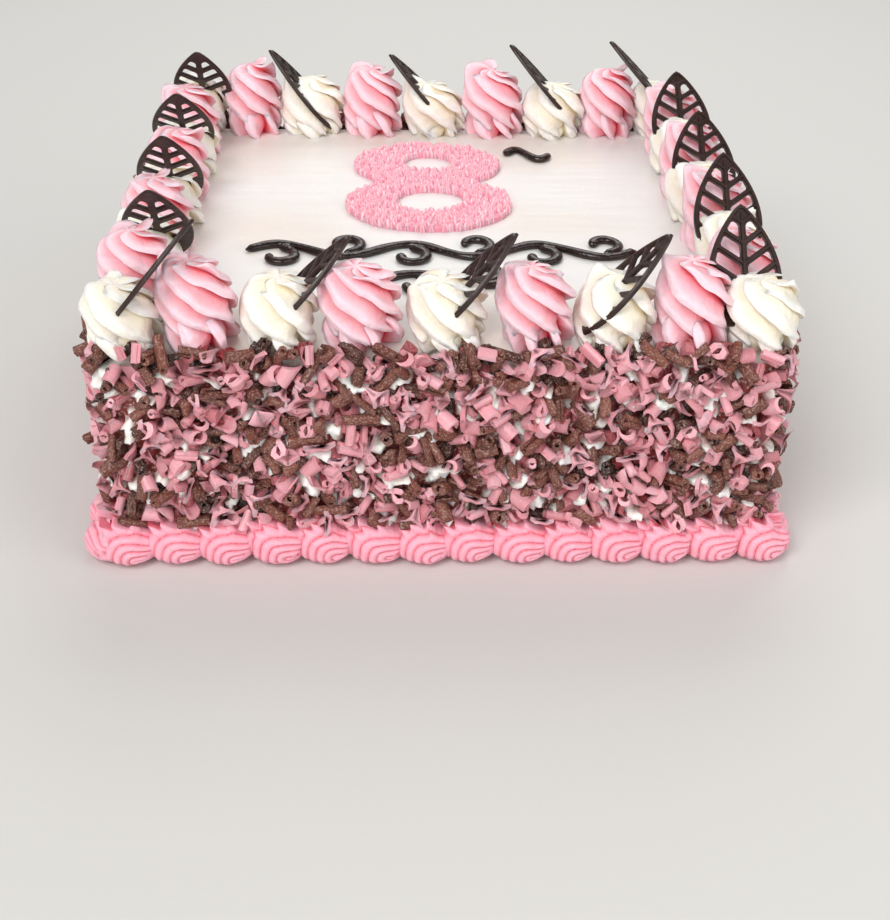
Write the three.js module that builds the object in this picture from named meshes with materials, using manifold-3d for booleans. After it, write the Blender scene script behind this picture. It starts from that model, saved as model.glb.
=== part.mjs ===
// Square celebration cake with a piped figure eight on its top.
// Sizes are in millimetres, +Z is up, and the origin is the centre of the cake's underside.
// The front of the cake faces -Y. Each side of the cake is built once along X at the front
// and then turned about Z, so the trimmings run round the cake counter-clockwise.
import * as THREE from "three";
import { mergeVertices } from "three/addons/utils/BufferGeometryUtils.js";
import Module from "manifold-3d";

const wasm = await Module();
wasm.setup();

// ---------------------------------------------------------------- driving dimensions

const CAKE = {
  height: 91, // board to the smooth cream top
  half: 131, // half the width of the cream-coated cake, without its coat of curls
  cornerRadius: 12,
  cornerArcs: 3,
  wallPanels: 8, // facets along each wall
  coatRelief: 1.2, // how far the coat of chocolate curls wanders in and out
};

// How far the wall stands proud of CAKE.half at each height: bare at the foot, where the
// border sits, then the coat of curls, then the rounded top edge.
const WALL_PROFILE = [
  { z: 0, out: 0, relief: 0 },
  { z: 18.5, out: 0, relief: 0 },
  { z: 25, out: 2.4, relief: 1 },
  { z: 54, out: 3, relief: 1 },
  { z: 82, out: 2.4, relief: 1 },
  { z: CAKE.height, out: -0.5, relief: 0 },
];

const RING = {
  half: 120, // corner rosette to the middle of the cake
  perSide: 8, // corner included, the next corner not
  lift: 0.3, // gap that two touching pieces keep
};

// The sides in counter-clockwise order, each with how far its rosettes have drifted along
// the ring from even places, and how far its whole row sits inwards.
const SIDES = [
  { name: "front", inset: 0, drift: [1, -4, -2.7, -0.2, 3, 6.4, 5.8, 5.5] },
  { name: "right", inset: -1.5, drift: [1.5, 2, 2.6, 2.4, 2.2, 1.4, 0.8, 0] },
  { name: "back", inset: 1, drift: [1, -4.2, -4.4, -4.8, -4.3, -1.3, 0.5, -1.9] },
  { name: "left", inset: 2, drift: [1, 2.8, 4.5, 4.4, 4.4, 4.4, 4.5, 2.8] },
];

const SWIRL = { lobes: 7, grooveDepth: 0.24, samplesPerLobe: 2 };

// Pink rosettes are tall buds; white ones are lower, pressed down by their leaf.
const PINK_SWIRL = {
  radius: 16.4,
  height: 33,
  twist: -2.4,
  profile: [
    [0, 0],
    [0.9, 0],
    [1, 0.45],
    [0.6, 0.86],
    [0, 1],
  ],
};
const WHITE_SWIRL = {
  radius: 17.2,
  height: 25,
  twist: -2.0,
  profile: [
    [0, 0],
    [1, 0],
    [0.94, 0.4],
    [0.52, 0.84],
    [0, 1],
  ],
};

const LEAF = {
  length: 54,
  halfWidth: 14.4,
  fullness: 0.82, // below 1 puts the widest place nearer the stalk end
  bluntness: 0.75, // below 1 rounds the two ends
  thickness: 2,
  rimSteps: 4, // facets along each long edge
  rim: 2.4,
  midrib: 2.8,
  slots: 4, // on each side of the midrib
  firstSlot: 15.5,
  slotHeight: 5.4,
  slotPitch: 8.3,
  veinRise: 0.7, // how far a vein climbs for each millimetre outwards
  stalkEnd: 5, // what lies below this would only be a point deep in the cream
};

// Where each leaf's base is: how far back along the ring from the middle of its white
// rosette, how high above the cake's top, how far it leans, how far inwards it sits and,
// where it isn't square to the ring, how far it is turned about its own midrib.
const LEAF_SEATS = [
  [
    { back: 5, above: 10.9, lean: 38.6, inset: -5, turn: -9 },
    { back: 7.2, above: 2.3, lean: 41.9, inset: 4 },
    { back: 9.4, above: 4.3, lean: 39.8, inset: 0 },
    { back: 14.7, above: 4.3, lean: 40.1, inset: 0 },
  ],
  [
    { back: 8.5, above: 6.7, lean: 41.8, inset: 6 },
    { back: 11, above: 7.1, lean: 44.1, inset: 1 },
    { back: 11.3, above: 7.9, lean: 49.8, inset: 0 },
    { back: 10.1, above: 8.2, lean: 51.1, inset: 0 },
  ],
  [
    { back: 8, above: 9.8, lean: 43.7, inset: 0 },
    { back: 10.7, above: 6.4, lean: 41.6, inset: 0 },
    { back: 10.6, above: 1.5, lean: 42.4, inset: 0 },
    { back: 12.4, above: 1, lean: 38.5, inset: 0 },
  ],
  [
    { back: 7.4, above: 6.3, lean: 38.1, inset: 4 },
    { back: 11, above: 6.5, lean: 40.1, inset: 1 },
    { back: 9.7, above: 6.2, lean: 37.4, inset: 2 },
    { back: 9.9, above: 6.2, lean: 38, inset: 4 },
  ],
];

const BORDER = {
  shells: 14,
  outer: 145, // border's foot to the middle of the cake
  height: 18,
  wallGap: 0.3,
};

// One shell's girth from its head round to its tail, as shares of the full section.
const SHELL_GIRTH = [0.8, 1, 0.62];

// The section of a shell: out from the wall, then up, as shares of depth and height.
const SHELL_SECTION = [
  [0, 0],
  [0.9, 0],
  [1, 0.36],
  [0.66, 0.8],
  [0, 1],
];

const NUMERAL = {
  height: 5.6,
  steps: 7, // facets on half of each oval
  lobes: [
    { x: -1.8, y: 65.5, rx: 36.2, ry: 27 },
    { x: -2.2, y: 15.5, rx: 38.6, ry: 31 },
    { x: -2.8, y: 44.5, rx: 26, ry: 11 }, // the waist between the two
  ],
  eyes: [
    { x: -1.2, y: 66.5, rx: 12, ry: 11.5 },
    { x: -0.9, y: 18.5, rx: 15.6, ry: 13.5 },
  ],
};

const PIPING = { width: 4.6, height: 3 };

// Wavy stem with a curl in each bend, piped in dark chocolate in front of the numeral.
const VINE = { x: 2, y: -37.5, length: 168, waves: 3, swing: 6.5, steps: 16, curls: 6 };
const LOWER_VINE = { x: 4, y: -67, length: 56, waves: 1, swing: 5.5, steps: 9, curls: 2 };
const SMALL_SCROLL = { x: 48.5, y: 81, length: 22, waves: 1, swing: 6.5, steps: 8, curls: 0 };
const VINE_CURL = { turns: 0.8, start: 9, end: 3, steps: 5 };

// ---------------------------------------------------------------- finishes

function finish(color, roughness) {
  return new THREE.MeshStandardMaterial({ color, roughness, metalness: 0 });
}

const FINISH = {
  cream: finish(0xf6f0e6, 0.55),
  pinkButtercream: finish(0xf39db2, 0.5),
  borderButtercream: finish(0xf2879c, 0.5),
  whippedCream: finish(0xf8f3e2, 0.5),
  darkChocolate: finish(0x33231f, 0.35),
};

// ---------------------------------------------------------------- small helpers

// A repeatable value from -1 to 1 for each seed.
function wander(seed) {
  const s = Math.sin(seed * 12.9898 + 4.1414) * 43758.5453;
  return 2 * (s - Math.floor(s)) - 1;
}

function toSolid(geometry) {
  const bare = geometry.index ? geometry.toNonIndexed() : geometry.clone();
  bare.deleteAttribute("normal");
  bare.deleteAttribute("uv");
  const merged = mergeVertices(bare, 1e-3);
  return new wasm.Manifold(
    new wasm.Mesh({
      numProp: 3,
      vertProperties: merged.attributes.position.array,
      triVerts: new Uint32Array(merged.index.array),
    }),
  );
}

function toGeometry(solid) {
  const { vertProperties, triVerts, numProp } = solid.getMesh();
  const count = vertProperties.length / numProp;
  const positions = new Float32Array(count * 3);
  for (let i = 0; i < count; i++)
    positions.set(vertProperties.subarray(i * numProp, i * numProp + 3), i * 3);
  return new THREE.BufferGeometry()
    .setAttribute("position", new THREE.BufferAttribute(positions, 3))
    .setIndex(new THREE.BufferAttribute(triVerts, 1));
}

function movePoints(geometry, move) {
  const position = geometry.attributes.position;
  const point = new THREE.Vector3();
  for (let i = 0; i < position.count; i++) {
    point.fromBufferAttribute(position, i);
    move(point);
    position.setXYZ(i, point.x, point.y, point.z);
  }
  return geometry;
}

function named(name, geometry, material) {
  const mesh = new THREE.Mesh(geometry, material);
  mesh.name = name;
  return mesh;
}

// The turn that carries the front side of the cake to side `number`.
function sideTurn(number) {
  return new THREE.Matrix4().makeRotationZ((number * Math.PI) / 2);
}

// ---------------------------------------------------------------- the cake itself

function roundedSquare(half, radius) {
  const shape = new THREE.Shape();
  const flat = half - radius;
  for (let number = 0; number < SIDES.length; number++) {
    const turn = sideTurn(number);
    for (let i = 0; i < CAKE.wallPanels; i++) {
      const x = -flat + (2 * flat * i) / CAKE.wallPanels;
      const point = new THREE.Vector3(x, -half, 0).applyMatrix4(turn);
      if (number === 0 && i === 0) shape.moveTo(point.x, point.y);
      else shape.lineTo(point.x, point.y);
    }
    for (let i = 0; i < CAKE.cornerArcs; i++) {
      const angle = -Math.PI / 2 + (Math.PI / 2) * (i / CAKE.cornerArcs);
      const point = new THREE.Vector3(
        flat + radius * Math.cos(angle),
        -flat + radius * Math.sin(angle),
        0,
      ).applyMatrix4(turn);
      shape.lineTo(point.x, point.y);
    }
  }
  return shape;
}

// The wall rings are evenly spaced when extruded, then moved to the heights of the profile.
function cakeGeometry() {
  const steps = WALL_PROFILE.length - 1;
  const body = new THREE.ExtrudeGeometry(roundedSquare(CAKE.half, CAKE.cornerRadius), {
    depth: steps,
    steps,
    bevelEnabled: false,
  });
  const flat = CAKE.half - CAKE.cornerRadius;
  return movePoints(body, (point) => {
    const level = WALL_PROFILE[Math.round(point.z)];
    const cornerX = THREE.MathUtils.clamp(point.x, -flat, flat);
    const cornerY = THREE.MathUtils.clamp(point.y, -flat, flat);
    const outward = new THREE.Vector3(point.x - cornerX, point.y - cornerY, 0).normalize();
    const seed = Math.round(point.x) + 3 * Math.round(point.y) + 7 * level.z;
    point.addScaledVector(outward, level.out + level.relief * CAKE.coatRelief * wander(seed));
    point.z = level.z;
  });
}

// ---------------------------------------------------------------- piped rosettes

// A star tube piped in a swirl: a lathe whose every second meridian is a groove, twisted.
function swirlGeometry(kind, radius, height, turn) {
  const profile = kind.profile.map(([r, z]) => new THREE.Vector2(r * radius, z * height));
  const swirl = new THREE.LatheGeometry(profile, SWIRL.lobes * SWIRL.samplesPerLobe);
  swirl.rotateX(Math.PI / 2);
  return movePoints(swirl, (point) => {
    const meridian = Math.atan2(point.y, point.x) + Math.PI / 2; // 0 where the lathe starts
    const groove = 0.5 * (1 - Math.cos(SWIRL.lobes * meridian));
    const reach = Math.hypot(point.x, point.y) * (1 - SWIRL.grooveDepth * groove);
    const swept = meridian + turn + (kind.twist * point.z) / height;
    point.x = reach * Math.cos(swept);
    point.y = reach * Math.sin(swept);
  });
}

// Places run counter-clockwise from the front left corner; `along` and `inset` are the
// rosette's own place on its side, before the side is turned.
function ringPlaces() {
  const pitch = (2 * RING.half) / RING.perSide;
  return SIDES.flatMap((side, number) =>
    side.drift.map((drift, index) => ({
      number,
      index,
      name: `${side.name}_${index}`,
      seed: 10 * number + index,
      white: index % 2 === 0,
      centre: new THREE.Vector3(
        pitch * index - RING.half + drift,
        side.inset - RING.half,
        CAKE.height + RING.lift,
      ).applyMatrix4(sideTurn(number)),
    })),
  );
}

// Neighbouring rosettes press flat against each other halfway between their middles.
function pressAgainst(swirl, place, other) {
  const apart = other.centre.clone().sub(place.centre);
  const axis = Math.abs(apart.x) > Math.abs(apart.y) ? "x" : "y";
  const side = Math.sign(apart[axis]);
  const limit = Math.abs(apart[axis]) / 2 - RING.lift / 2;
  return movePoints(swirl, (point) => {
    point[axis] = side * Math.min(side * point[axis], limit);
  });
}

// ---------------------------------------------------------------- filigree leaves

function leafHalfWidth(y) {
  const along = THREE.MathUtils.clamp(y / LEAF.length, 0, 1);
  const swell = Math.max(0, Math.sin(Math.PI * along ** LEAF.fullness));
  return LEAF.halfWidth * swell ** LEAF.bluntness;
}

// The outline runs up one edge from the stalk to the tip and down the other, `grow` outside
// the leaf's own edge.
function leafOutline(grow) {
  const rise = (LEAF.length - LEAF.stalkEnd) / LEAF.rimSteps;
  const shape = new THREE.Shape().moveTo(0, LEAF.length + grow);
  for (const side of [-1, 1])
    for (let i = 0; i < LEAF.rimSteps; i++) {
      const step = side < 0 ? LEAF.rimSteps - 1 - i : i;
      const y = LEAF.stalkEnd + rise * step;
      shape.lineTo(side * (leafHalfWidth(y) + grow), y - (step === 0 ? grow : 0));
    }
  return shape.closePath();
}

// The point where a vein that leaves the midrib at `start` meets the leaf's rim.
function veinEnd(start) {
  let x = LEAF.midrib / 2;
  let y = start;
  const step = 0.1;
  while (x < leafHalfWidth(y) - LEAF.rim) {
    x += step;
    y += step * LEAF.veinRise;
  }
  return new THREE.Vector2(x, y);
}

function leafSlot(side, start) {
  const rib = LEAF.midrib / 2;
  const low = veinEnd(start);
  const high = veinEnd(start + LEAF.slotHeight);
  return new THREE.Path()
    .moveTo(side * rib, start)
    .lineTo(side * low.x, low.y)
    .lineTo(side * high.x, high.y)
    .lineTo(side * rib, start + LEAF.slotHeight)
    .closePath();
}

function leafPlate(shape, thickness) {
  const plate = new THREE.ExtrudeGeometry(shape, { depth: thickness, bevelEnabled: false });
  return plate.translate(0, 0, -thickness / 2);
}

function leafGeometry() {
  const shape = leafOutline(0);
  for (const side of [1, -1])
    for (let i = 0; i < LEAF.slots; i++)
      shape.holes.push(leafSlot(side, LEAF.firstSlot + i * LEAF.slotPitch));
  return leafPlate(shape, LEAF.thickness);
}

// The leaf's own axes on the cake: width across the ring, length leaning along the ring.
function leafPlacement(place) {
  const seat = LEAF_SEATS[place.number][place.index / 2];
  const lean = THREE.MathUtils.degToRad(seat.lean);
  const turn = THREE.MathUtils.degToRad(seat.turn ?? 0);
  const along = new THREE.Vector3(Math.sin(lean), 0, Math.cos(lean));
  const across = new THREE.Vector3(0, 1, 0).applyAxisAngle(along, turn);
  const normal = across.clone().cross(along);
  const base = new THREE.Vector3(-seat.back, seat.inset, seat.above);
  base.addScaledVector(along, -LEAF.stalkEnd / 2);
  const local = new THREE.Matrix4().makeBasis(across, along, normal).setPosition(base);
  const turned = sideTurn(place.number).multiply(local);
  return new THREE.Matrix4().makeTranslation(place.centre).multiply(turned);
}

// ---------------------------------------------------------------- shell border

// A row of shells along X: an extruded section whose girth swells and narrows. The row
// starts behind the end of the row before it and covers the corner at its own end.
function borderGeometry(number) {
  const steps = BORDER.shells * SHELL_GIRTH.length;
  const wall = CAKE.half + BORDER.wallGap;
  const depth = BORDER.outer - wall;
  const section = new THREE.Shape(SHELL_SECTION.map(([out, up]) => new THREE.Vector2(out, up)));
  const row = new THREE.ExtrudeGeometry(section, { depth: steps, steps, bevelEnabled: false });
  const start = -CAKE.half + BORDER.wallGap;
  const stride = (BORDER.outer - start) / steps;
  return movePoints(row, (point) => {
    const step = steps - Math.round(point.z);
    const [out, up] = [point.x, point.y];
    const swell = 1 + 0.04 * wander(7 * number + Math.floor(step / SHELL_GIRTH.length));
    const girth = SHELL_GIRTH[step % SHELL_GIRTH.length] * swell;
    point.x = start + stride * step;
    point.y = -wall - depth * out * Math.min(1, girth);
    point.z = BORDER.height * up * (0.4 + 0.6 * girth);
  });
}

// ---------------------------------------------------------------- numeral and piping

function ovalSolid(oval, height) {
  const shape = new THREE.Shape().absellipse(oval.x, oval.y, oval.rx, oval.ry, 0, 2 * Math.PI);
  return toSolid(
    new THREE.ExtrudeGeometry(shape, {
      depth: height,
      bevelEnabled: false,
      curveSegments: NUMERAL.steps,
    }),
  );
}

function numeralGeometry() {
  const tall = NUMERAL.height;
  const lobes = NUMERAL.lobes.map((oval) => ovalSolid(oval, tall)).reduce((a, b) => a.add(b));
  const eyes = NUMERAL.eyes.map((oval) => ovalSolid(oval, tall));
  const solid = eyes.reduce((figure, eye) => figure.subtract(eye), lobes);
  return toGeometry(solid).translate(0, 0, CAKE.height + RING.lift);
}

// A line of chocolate as it leaves the piping bag: flat below, round above.
function pipedLine(curve, steps) {
  const half = PIPING.width / 2;
  // The section's X is the line's height here, because a flat curve's frame stands that way.
  const section = new THREE.Shape()
    .moveTo(0, -half)
    .lineTo(0, half)
    .lineTo(-PIPING.height, half * 0.5)
    .lineTo(-PIPING.height, -half * 0.5)
    .closePath();
  const line = new THREE.ExtrudeGeometry(section, { steps, extrudePath: curve, bevelEnabled: false });
  line.computeBoundingBox();
  return toSolid(line.translate(0, 0, -line.boundingBox.min.z));
}

function waveCurve(vine) {
  const points = [];
  for (let i = 0; i <= vine.steps; i++) {
    const t = i / vine.steps;
    const bend = vine.swing * Math.sin(2 * Math.PI * vine.waves * t);
    points.push(new THREE.Vector3(vine.length * (t - 0.5), bend, 0));
  }
  return new THREE.CatmullRomCurve3(points);
}

// A tendril that leaves the stem at a bend and curls into the hollow of the wave.
function curlCurve(x, up) {
  const points = [];
  const middle = VINE_CURL.start - PIPING.width / 2;
  for (let i = 0; i <= VINE_CURL.steps; i++) {
    const t = i / VINE_CURL.steps;
    const angle = 2 * Math.PI * (VINE_CURL.turns * t - 0.25);
    const reach = THREE.MathUtils.lerp(VINE_CURL.start, VINE_CURL.end, t);
    const rise = middle + reach * Math.sin(angle);
    points.push(new THREE.Vector3(x + reach * Math.cos(angle), up * rise, 0));
  }
  return new THREE.CatmullRomCurve3(points);
}

function vineGeometry(vine) {
  let solid = pipedLine(waveCurve(vine), vine.steps);
  const bend = vine.length / (2 * vine.waves);
  for (let i = 0; i < vine.curls; i++) {
    const x = bend * (i + 0.5) - vine.length / 2;
    const up = i % 2 === 0 ? -1 : 1;
    solid = solid.add(pipedLine(curlCurve(x, up), VINE_CURL.steps));
  }
  return toGeometry(solid).translate(vine.x, vine.y, CAKE.height + RING.lift);
}

// ---------------------------------------------------------------- assembly

// A leaf can slice a crumb off a rosette; only the rosette's main body stays.
function largestPart(solid) {
  return solid.decompose().reduce((a, b) => (a.volume() > b.volume() ? a : b));
}

function addLeaves(group, places) {
  const plate = leafGeometry();
  for (const place of places.filter(({ white }) => white)) {
    const leaf = named(`leaf_${place.name}`, plate, FINISH.darkChocolate);
    leafPlacement(place).decompose(leaf.position, leaf.quaternion, leaf.scale);
    group.add(leaf);
  }
}

// Every rosette is pressed by its two neighbours and gives way to the leaves stuck in it.
function addRosettes(group, places) {
  const slit = toSolid(leafPlate(leafOutline(RING.lift), LEAF.thickness + 2 * RING.lift));
  places.forEach((place, i) => {
    const kind = place.white ? WHITE_SWIRL : PINK_SWIRL;
    const radius = kind.radius * (1 + 0.03 * wander(place.seed + 0.2));
    const height = kind.height * (1 + 0.04 * wander(place.seed + 0.7));
    const swirl = swirlGeometry(kind, radius, height, wander(place.seed));
    for (const step of [1, places.length - 1])
      pressAgainst(swirl, place, places[(i + step) % places.length]);
    let solid = toSolid(swirl.translate(place.centre.x, place.centre.y, place.centre.z));
    for (const other of places)
      if (other.white && other.centre.distanceTo(place.centre) < LEAF.length)
        solid = solid.subtract(slit.transform(leafPlacement(other).elements));
    const material = place.white ? FINISH.whippedCream : FINISH.pinkButtercream;
    const colour = place.white ? "white" : "pink";
    group.add(named(`rosette_${colour}_${place.name}`, toGeometry(largestPart(solid)), material));
  });
}

function addBorder(group) {
  SIDES.forEach(({ name }, number) => {
    const row = named(`border_${name}`, borderGeometry(number), FINISH.borderButtercream);
    row.applyMatrix4(sideTurn(number));
    group.add(row);
  });
}

const cake = new THREE.Group();
cake.add(named("cake", cakeGeometry(), FINISH.cream));
const places = ringPlaces();
addRosettes(cake, places);
addLeaves(cake, places);
addBorder(cake);
cake.add(named("numeral", numeralGeometry(), FINISH.pinkButtercream));
cake.add(named("piped_vine", vineGeometry(VINE), FINISH.darkChocolate));
cake.add(named("piped_vine_lower", vineGeometry(LOWER_VINE), FINISH.darkChocolate));
cake.add(named("piped_scroll", vineGeometry(SMALL_SCROLL), FINISH.darkChocolate));

export default cake;
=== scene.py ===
"""The looks of a square celebration cake with a piped figure eight, built round its frame.

Sizes in this file are millimetres; a mesh becomes metres when its points are written.
+Z is up and the front of the cake faces -Y, as in the frame.
"""

import logging
import math
from dataclasses import dataclass, field
from enum import Enum

import bpy
import numpy as np
from mathutils import Matrix, Vector, noise


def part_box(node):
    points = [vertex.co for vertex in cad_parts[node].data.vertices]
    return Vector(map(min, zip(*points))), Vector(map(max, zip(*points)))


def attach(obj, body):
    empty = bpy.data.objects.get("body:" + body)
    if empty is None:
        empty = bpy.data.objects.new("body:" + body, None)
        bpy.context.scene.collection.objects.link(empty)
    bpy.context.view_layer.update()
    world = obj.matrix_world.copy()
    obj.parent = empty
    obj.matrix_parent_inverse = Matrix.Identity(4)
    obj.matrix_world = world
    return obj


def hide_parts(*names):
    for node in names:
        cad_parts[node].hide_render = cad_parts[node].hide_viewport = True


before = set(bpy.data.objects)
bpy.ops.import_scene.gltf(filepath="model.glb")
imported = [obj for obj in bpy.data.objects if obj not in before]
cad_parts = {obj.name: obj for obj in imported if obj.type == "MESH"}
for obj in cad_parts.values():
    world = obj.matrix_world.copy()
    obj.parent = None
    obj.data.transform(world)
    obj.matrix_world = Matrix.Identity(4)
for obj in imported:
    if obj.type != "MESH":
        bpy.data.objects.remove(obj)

logging.basicConfig(level=logging.INFO, format="%(message)s")
LOG = logging.getLogger("cake")

MM = 0.001
BODY = "root"
SIDES = ("front", "right", "back", "left")

Array = np.ndarray
Object = bpy.types.Object
Material = bpy.types.Material


# ------------------------------------------------------------------ colours and nodes


def srgb(hex_colour: str) -> tuple[float, float, float, float]:
    """Turns an sRGB hex colour into Blender's linear one.

    Args:
        hex_colour: six hex digits, such as "F6D0D8".

    Returns:
        Linear red, green, blue and an alpha of 1.
    """
    parts = [int(hex_colour[i : i + 2], 16) / 255 for i in (0, 2, 4)]
    linear = [p / 12.92 if p <= 0.04045 else ((p + 0.055) / 1.055) ** 2.4 for p in parts]
    return (*linear, 1.0)


def add_node(tree: bpy.types.NodeTree, kind: str, settings: dict, inputs: dict) -> bpy.types.Node:
    """Adds one shader node with its settings, values and links.

    Args:
        tree: the material's node tree.
        kind: the node's type name.
        settings: properties of the node.
        inputs: socket name or number to a value, or to the socket that feeds it.

    Returns:
        The new node.
    """
    node = tree.nodes.new(kind)
    for key, value in settings.items():
        setattr(node, key, value)
    for key, value in inputs.items():
        if isinstance(value, bpy.types.NodeSocket):
            tree.links.new(value, node.inputs[key])
        else:
            node.inputs[key].default_value = value
    return node


def new_material(name: str) -> tuple[Material, bpy.types.NodeTree, bpy.types.NodeSocket]:
    """Starts an empty node material.

    Args:
        name: the material's name.

    Returns:
        The material, its node tree and the Object coordinates' socket.
    """
    material = bpy.data.materials.new(name)
    material.use_nodes = True
    material.node_tree.nodes.clear()
    place = add_node(material.node_tree, "ShaderNodeTexCoord", {}, {})
    return material, material.node_tree, place.outputs["Object"]


def blend_colours(
    tree: bpy.types.NodeTree, share: bpy.types.NodeSocket, low: object, high: object
) -> bpy.types.NodeSocket:
    """Mixes two colours by a share from 0 to 1.

    Args:
        tree: the material's node tree.
        share: the socket that gives the share of the second colour.
        low: the first colour, or a socket that gives it.
        high: the second colour, or a socket that gives it.

    Returns:
        The mixed colour's socket.
    """
    mix = add_node(tree, "ShaderNodeMix", {"data_type": "RGBA"}, {0: share, 6: low, 7: high})
    return mix.outputs[2]


def shade(tree: bpy.types.NodeTree, inputs: dict) -> None:
    """Ends a material with the main shader.

    Args:
        tree: the material's node tree.
        inputs: the shader's values and links.
    """
    shader = add_node(tree, "ShaderNodeBsdfPrincipled", {}, inputs)
    add_node(tree, "ShaderNodeOutputMaterial", {}, {"Surface": shader.outputs[0]})


def pattern(
    tree: bpy.types.NodeTree,
    place: bpy.types.NodeSocket,
    grain: float,
    low: float = 0.3,
    high: float = 0.7,
    detail: float = 3.0,
) -> bpy.types.NodeSocket:
    """A soft random pattern whose blotches are about `grain` millimetres wide.

    Args:
        tree: the material's node tree.
        place: the coordinates' socket.
        grain: width of one blotch in millimetres.
        low: noise value that becomes 0.
        high: noise value that becomes 1.
        detail: octaves of finer noise.

    Returns:
        The pattern's socket, from 0 to 1.
    """
    cloud = add_node(
        tree, "ShaderNodeTexNoise", {}, {"Vector": place, "Scale": 1 / (grain * MM), "Detail": detail}
    )
    spread = add_node(
        tree,
        "ShaderNodeMapRange",
        {"interpolation_type": "SMOOTHSTEP"},
        {0: cloud.outputs[0], 1: low, 2: high, 3: 0.0, 4: 1.0},
    )
    return spread.outputs[0]


def bumps(
    tree: bpy.types.NodeTree,
    height: bpy.types.NodeSocket,
    depth: float,
    under: bpy.types.NodeSocket | None = None,
) -> bpy.types.NodeSocket:
    """Relief of `depth` millimetres from a pattern.

    Args:
        tree: the material's node tree.
        height: the pattern's socket.
        depth: how high the pattern's 1 stands over its 0, in millimetres.
        under: a coarser relief below this one.

    Returns:
        The normal's socket.
    """
    inputs = {"Height": height, "Distance": depth * MM}
    if under is not None:
        inputs["Normal"] = under
    return add_node(tree, "ShaderNodeBump", {}, inputs).outputs[0]


# ------------------------------------------------------------------ finishes


@dataclass(frozen=True)
class PipedCream:
    """Buttercream or whipped cream as it leaves a piping tip.

    Fat and air make it glow from inside. The ridges are pale, and the folds are painted a deeper
    colour: painted shade, on top of the light that really reaches through the cream. An attribute
    marks each point's share of that painted shade, 1 deep in a fold.
    """

    name: str
    ridge: str
    # the colour painted into the folds: painted shade
    fold_shade: str
    glow: float = 2.2  # how far light travels inside, in millimetres
    warmth: tuple[float, float, float] = (1.0, 0.4, 0.34)  # red travels furthest
    roughness: float = 0.36
    grain: float = 0.5  # fine fat crystals on the skin

    def make(self) -> Material:
        """Builds the material."""
        material, tree, place = new_material(self.name)
        # Painted shade: the fold colour is mixed in by how deep a point lies in a fold.
        depth = add_node(tree, "ShaderNodeAttribute", {"attribute_name": "fold_shade"}, {}).outputs["Fac"]
        colour = blend_colours(tree, depth, srgb(self.ridge), srgb(self.fold_shade))
        skin = pattern(tree, place, self.grain, detail=2.0)
        soft = bumps(tree, pattern(tree, place, 3.0), 0.22)
        shade(
            tree,
            {
                "Base Color": colour,
                "Roughness": self.roughness,
                "IOR": 1.38,
                "Subsurface Weight": 0.5,
                "Subsurface Radius": self.warmth,
                "Subsurface Scale": self.glow * MM,
                "Normal": bumps(tree, skin, 0.04, soft),
            },
        )
        return material


@dataclass(frozen=True)
class SpreadCream:
    """Cream smoothed with a palette knife: nearly white, with faint long knife marks.

    On the walls it was dragged into rough peaks. There the cream is painted a brighter white than on
    the top: painted light that lifts the cream seen in the shade between the curls. Where the curls
    cover the wall, blotches of a dark rose-brown are painted in: painted shade between the curls.
    """

    name: str
    light: str
    warm: str
    # the walls' brighter white: painted light
    dragged: str
    # the dark rose-brown painted between the curls: painted shade
    gap_shade: str
    roughness: float = 0.38

    def make(self) -> Material:
        """Builds the material."""
        material, tree, place = new_material(self.name)
        stretched = add_node(
            tree, "ShaderNodeMapping", {}, {"Vector": place, "Scale": (0.16, 1.0, 1.0)}
        ).outputs[0]
        strokes = pattern(tree, stretched, 9.0, detail=2.0)
        patches = pattern(tree, place, 70.0, detail=1.0)
        colour = blend_colours(tree, patches, srgb(self.light), srgb(self.warm))
        # Painted light: the walls take the brighter white.
        peaks = add_node(tree, "ShaderNodeAttribute", {"attribute_name": "dragged"}, {})
        colour = blend_colours(tree, peaks.outputs["Fac"], colour, srgb(self.dragged))
        # Painted shade: dark rose-brown blotches where the curls cover the wall.
        gap_shaded = add_node(tree, "ShaderNodeAttribute", {"attribute_name": "gap_shaded"}, {})
        gap_shade_share = add_node(
            tree,
            "ShaderNodeMath",
            {"operation": "MULTIPLY"},
            {0: gap_shaded.outputs["Fac"], 1: pattern(tree, place, 1.5, 0.22, 0.5)},
        ).outputs[0]
        colour = blend_colours(tree, gap_shade_share, colour, srgb(self.gap_shade))
        marks = bumps(tree, strokes, 0.1)
        shade(
            tree,
            {
                "Base Color": colour,
                "Roughness": self.roughness,
                "IOR": 1.46,
                "Subsurface Weight": 0.5,
                "Subsurface Radius": (1.0, 0.8, 0.6),
                "Subsurface Scale": 2.0 * MM,
                "Normal": bumps(tree, pattern(tree, place, 0.8), 0.03, marks),
            },
        )
        return material


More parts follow.
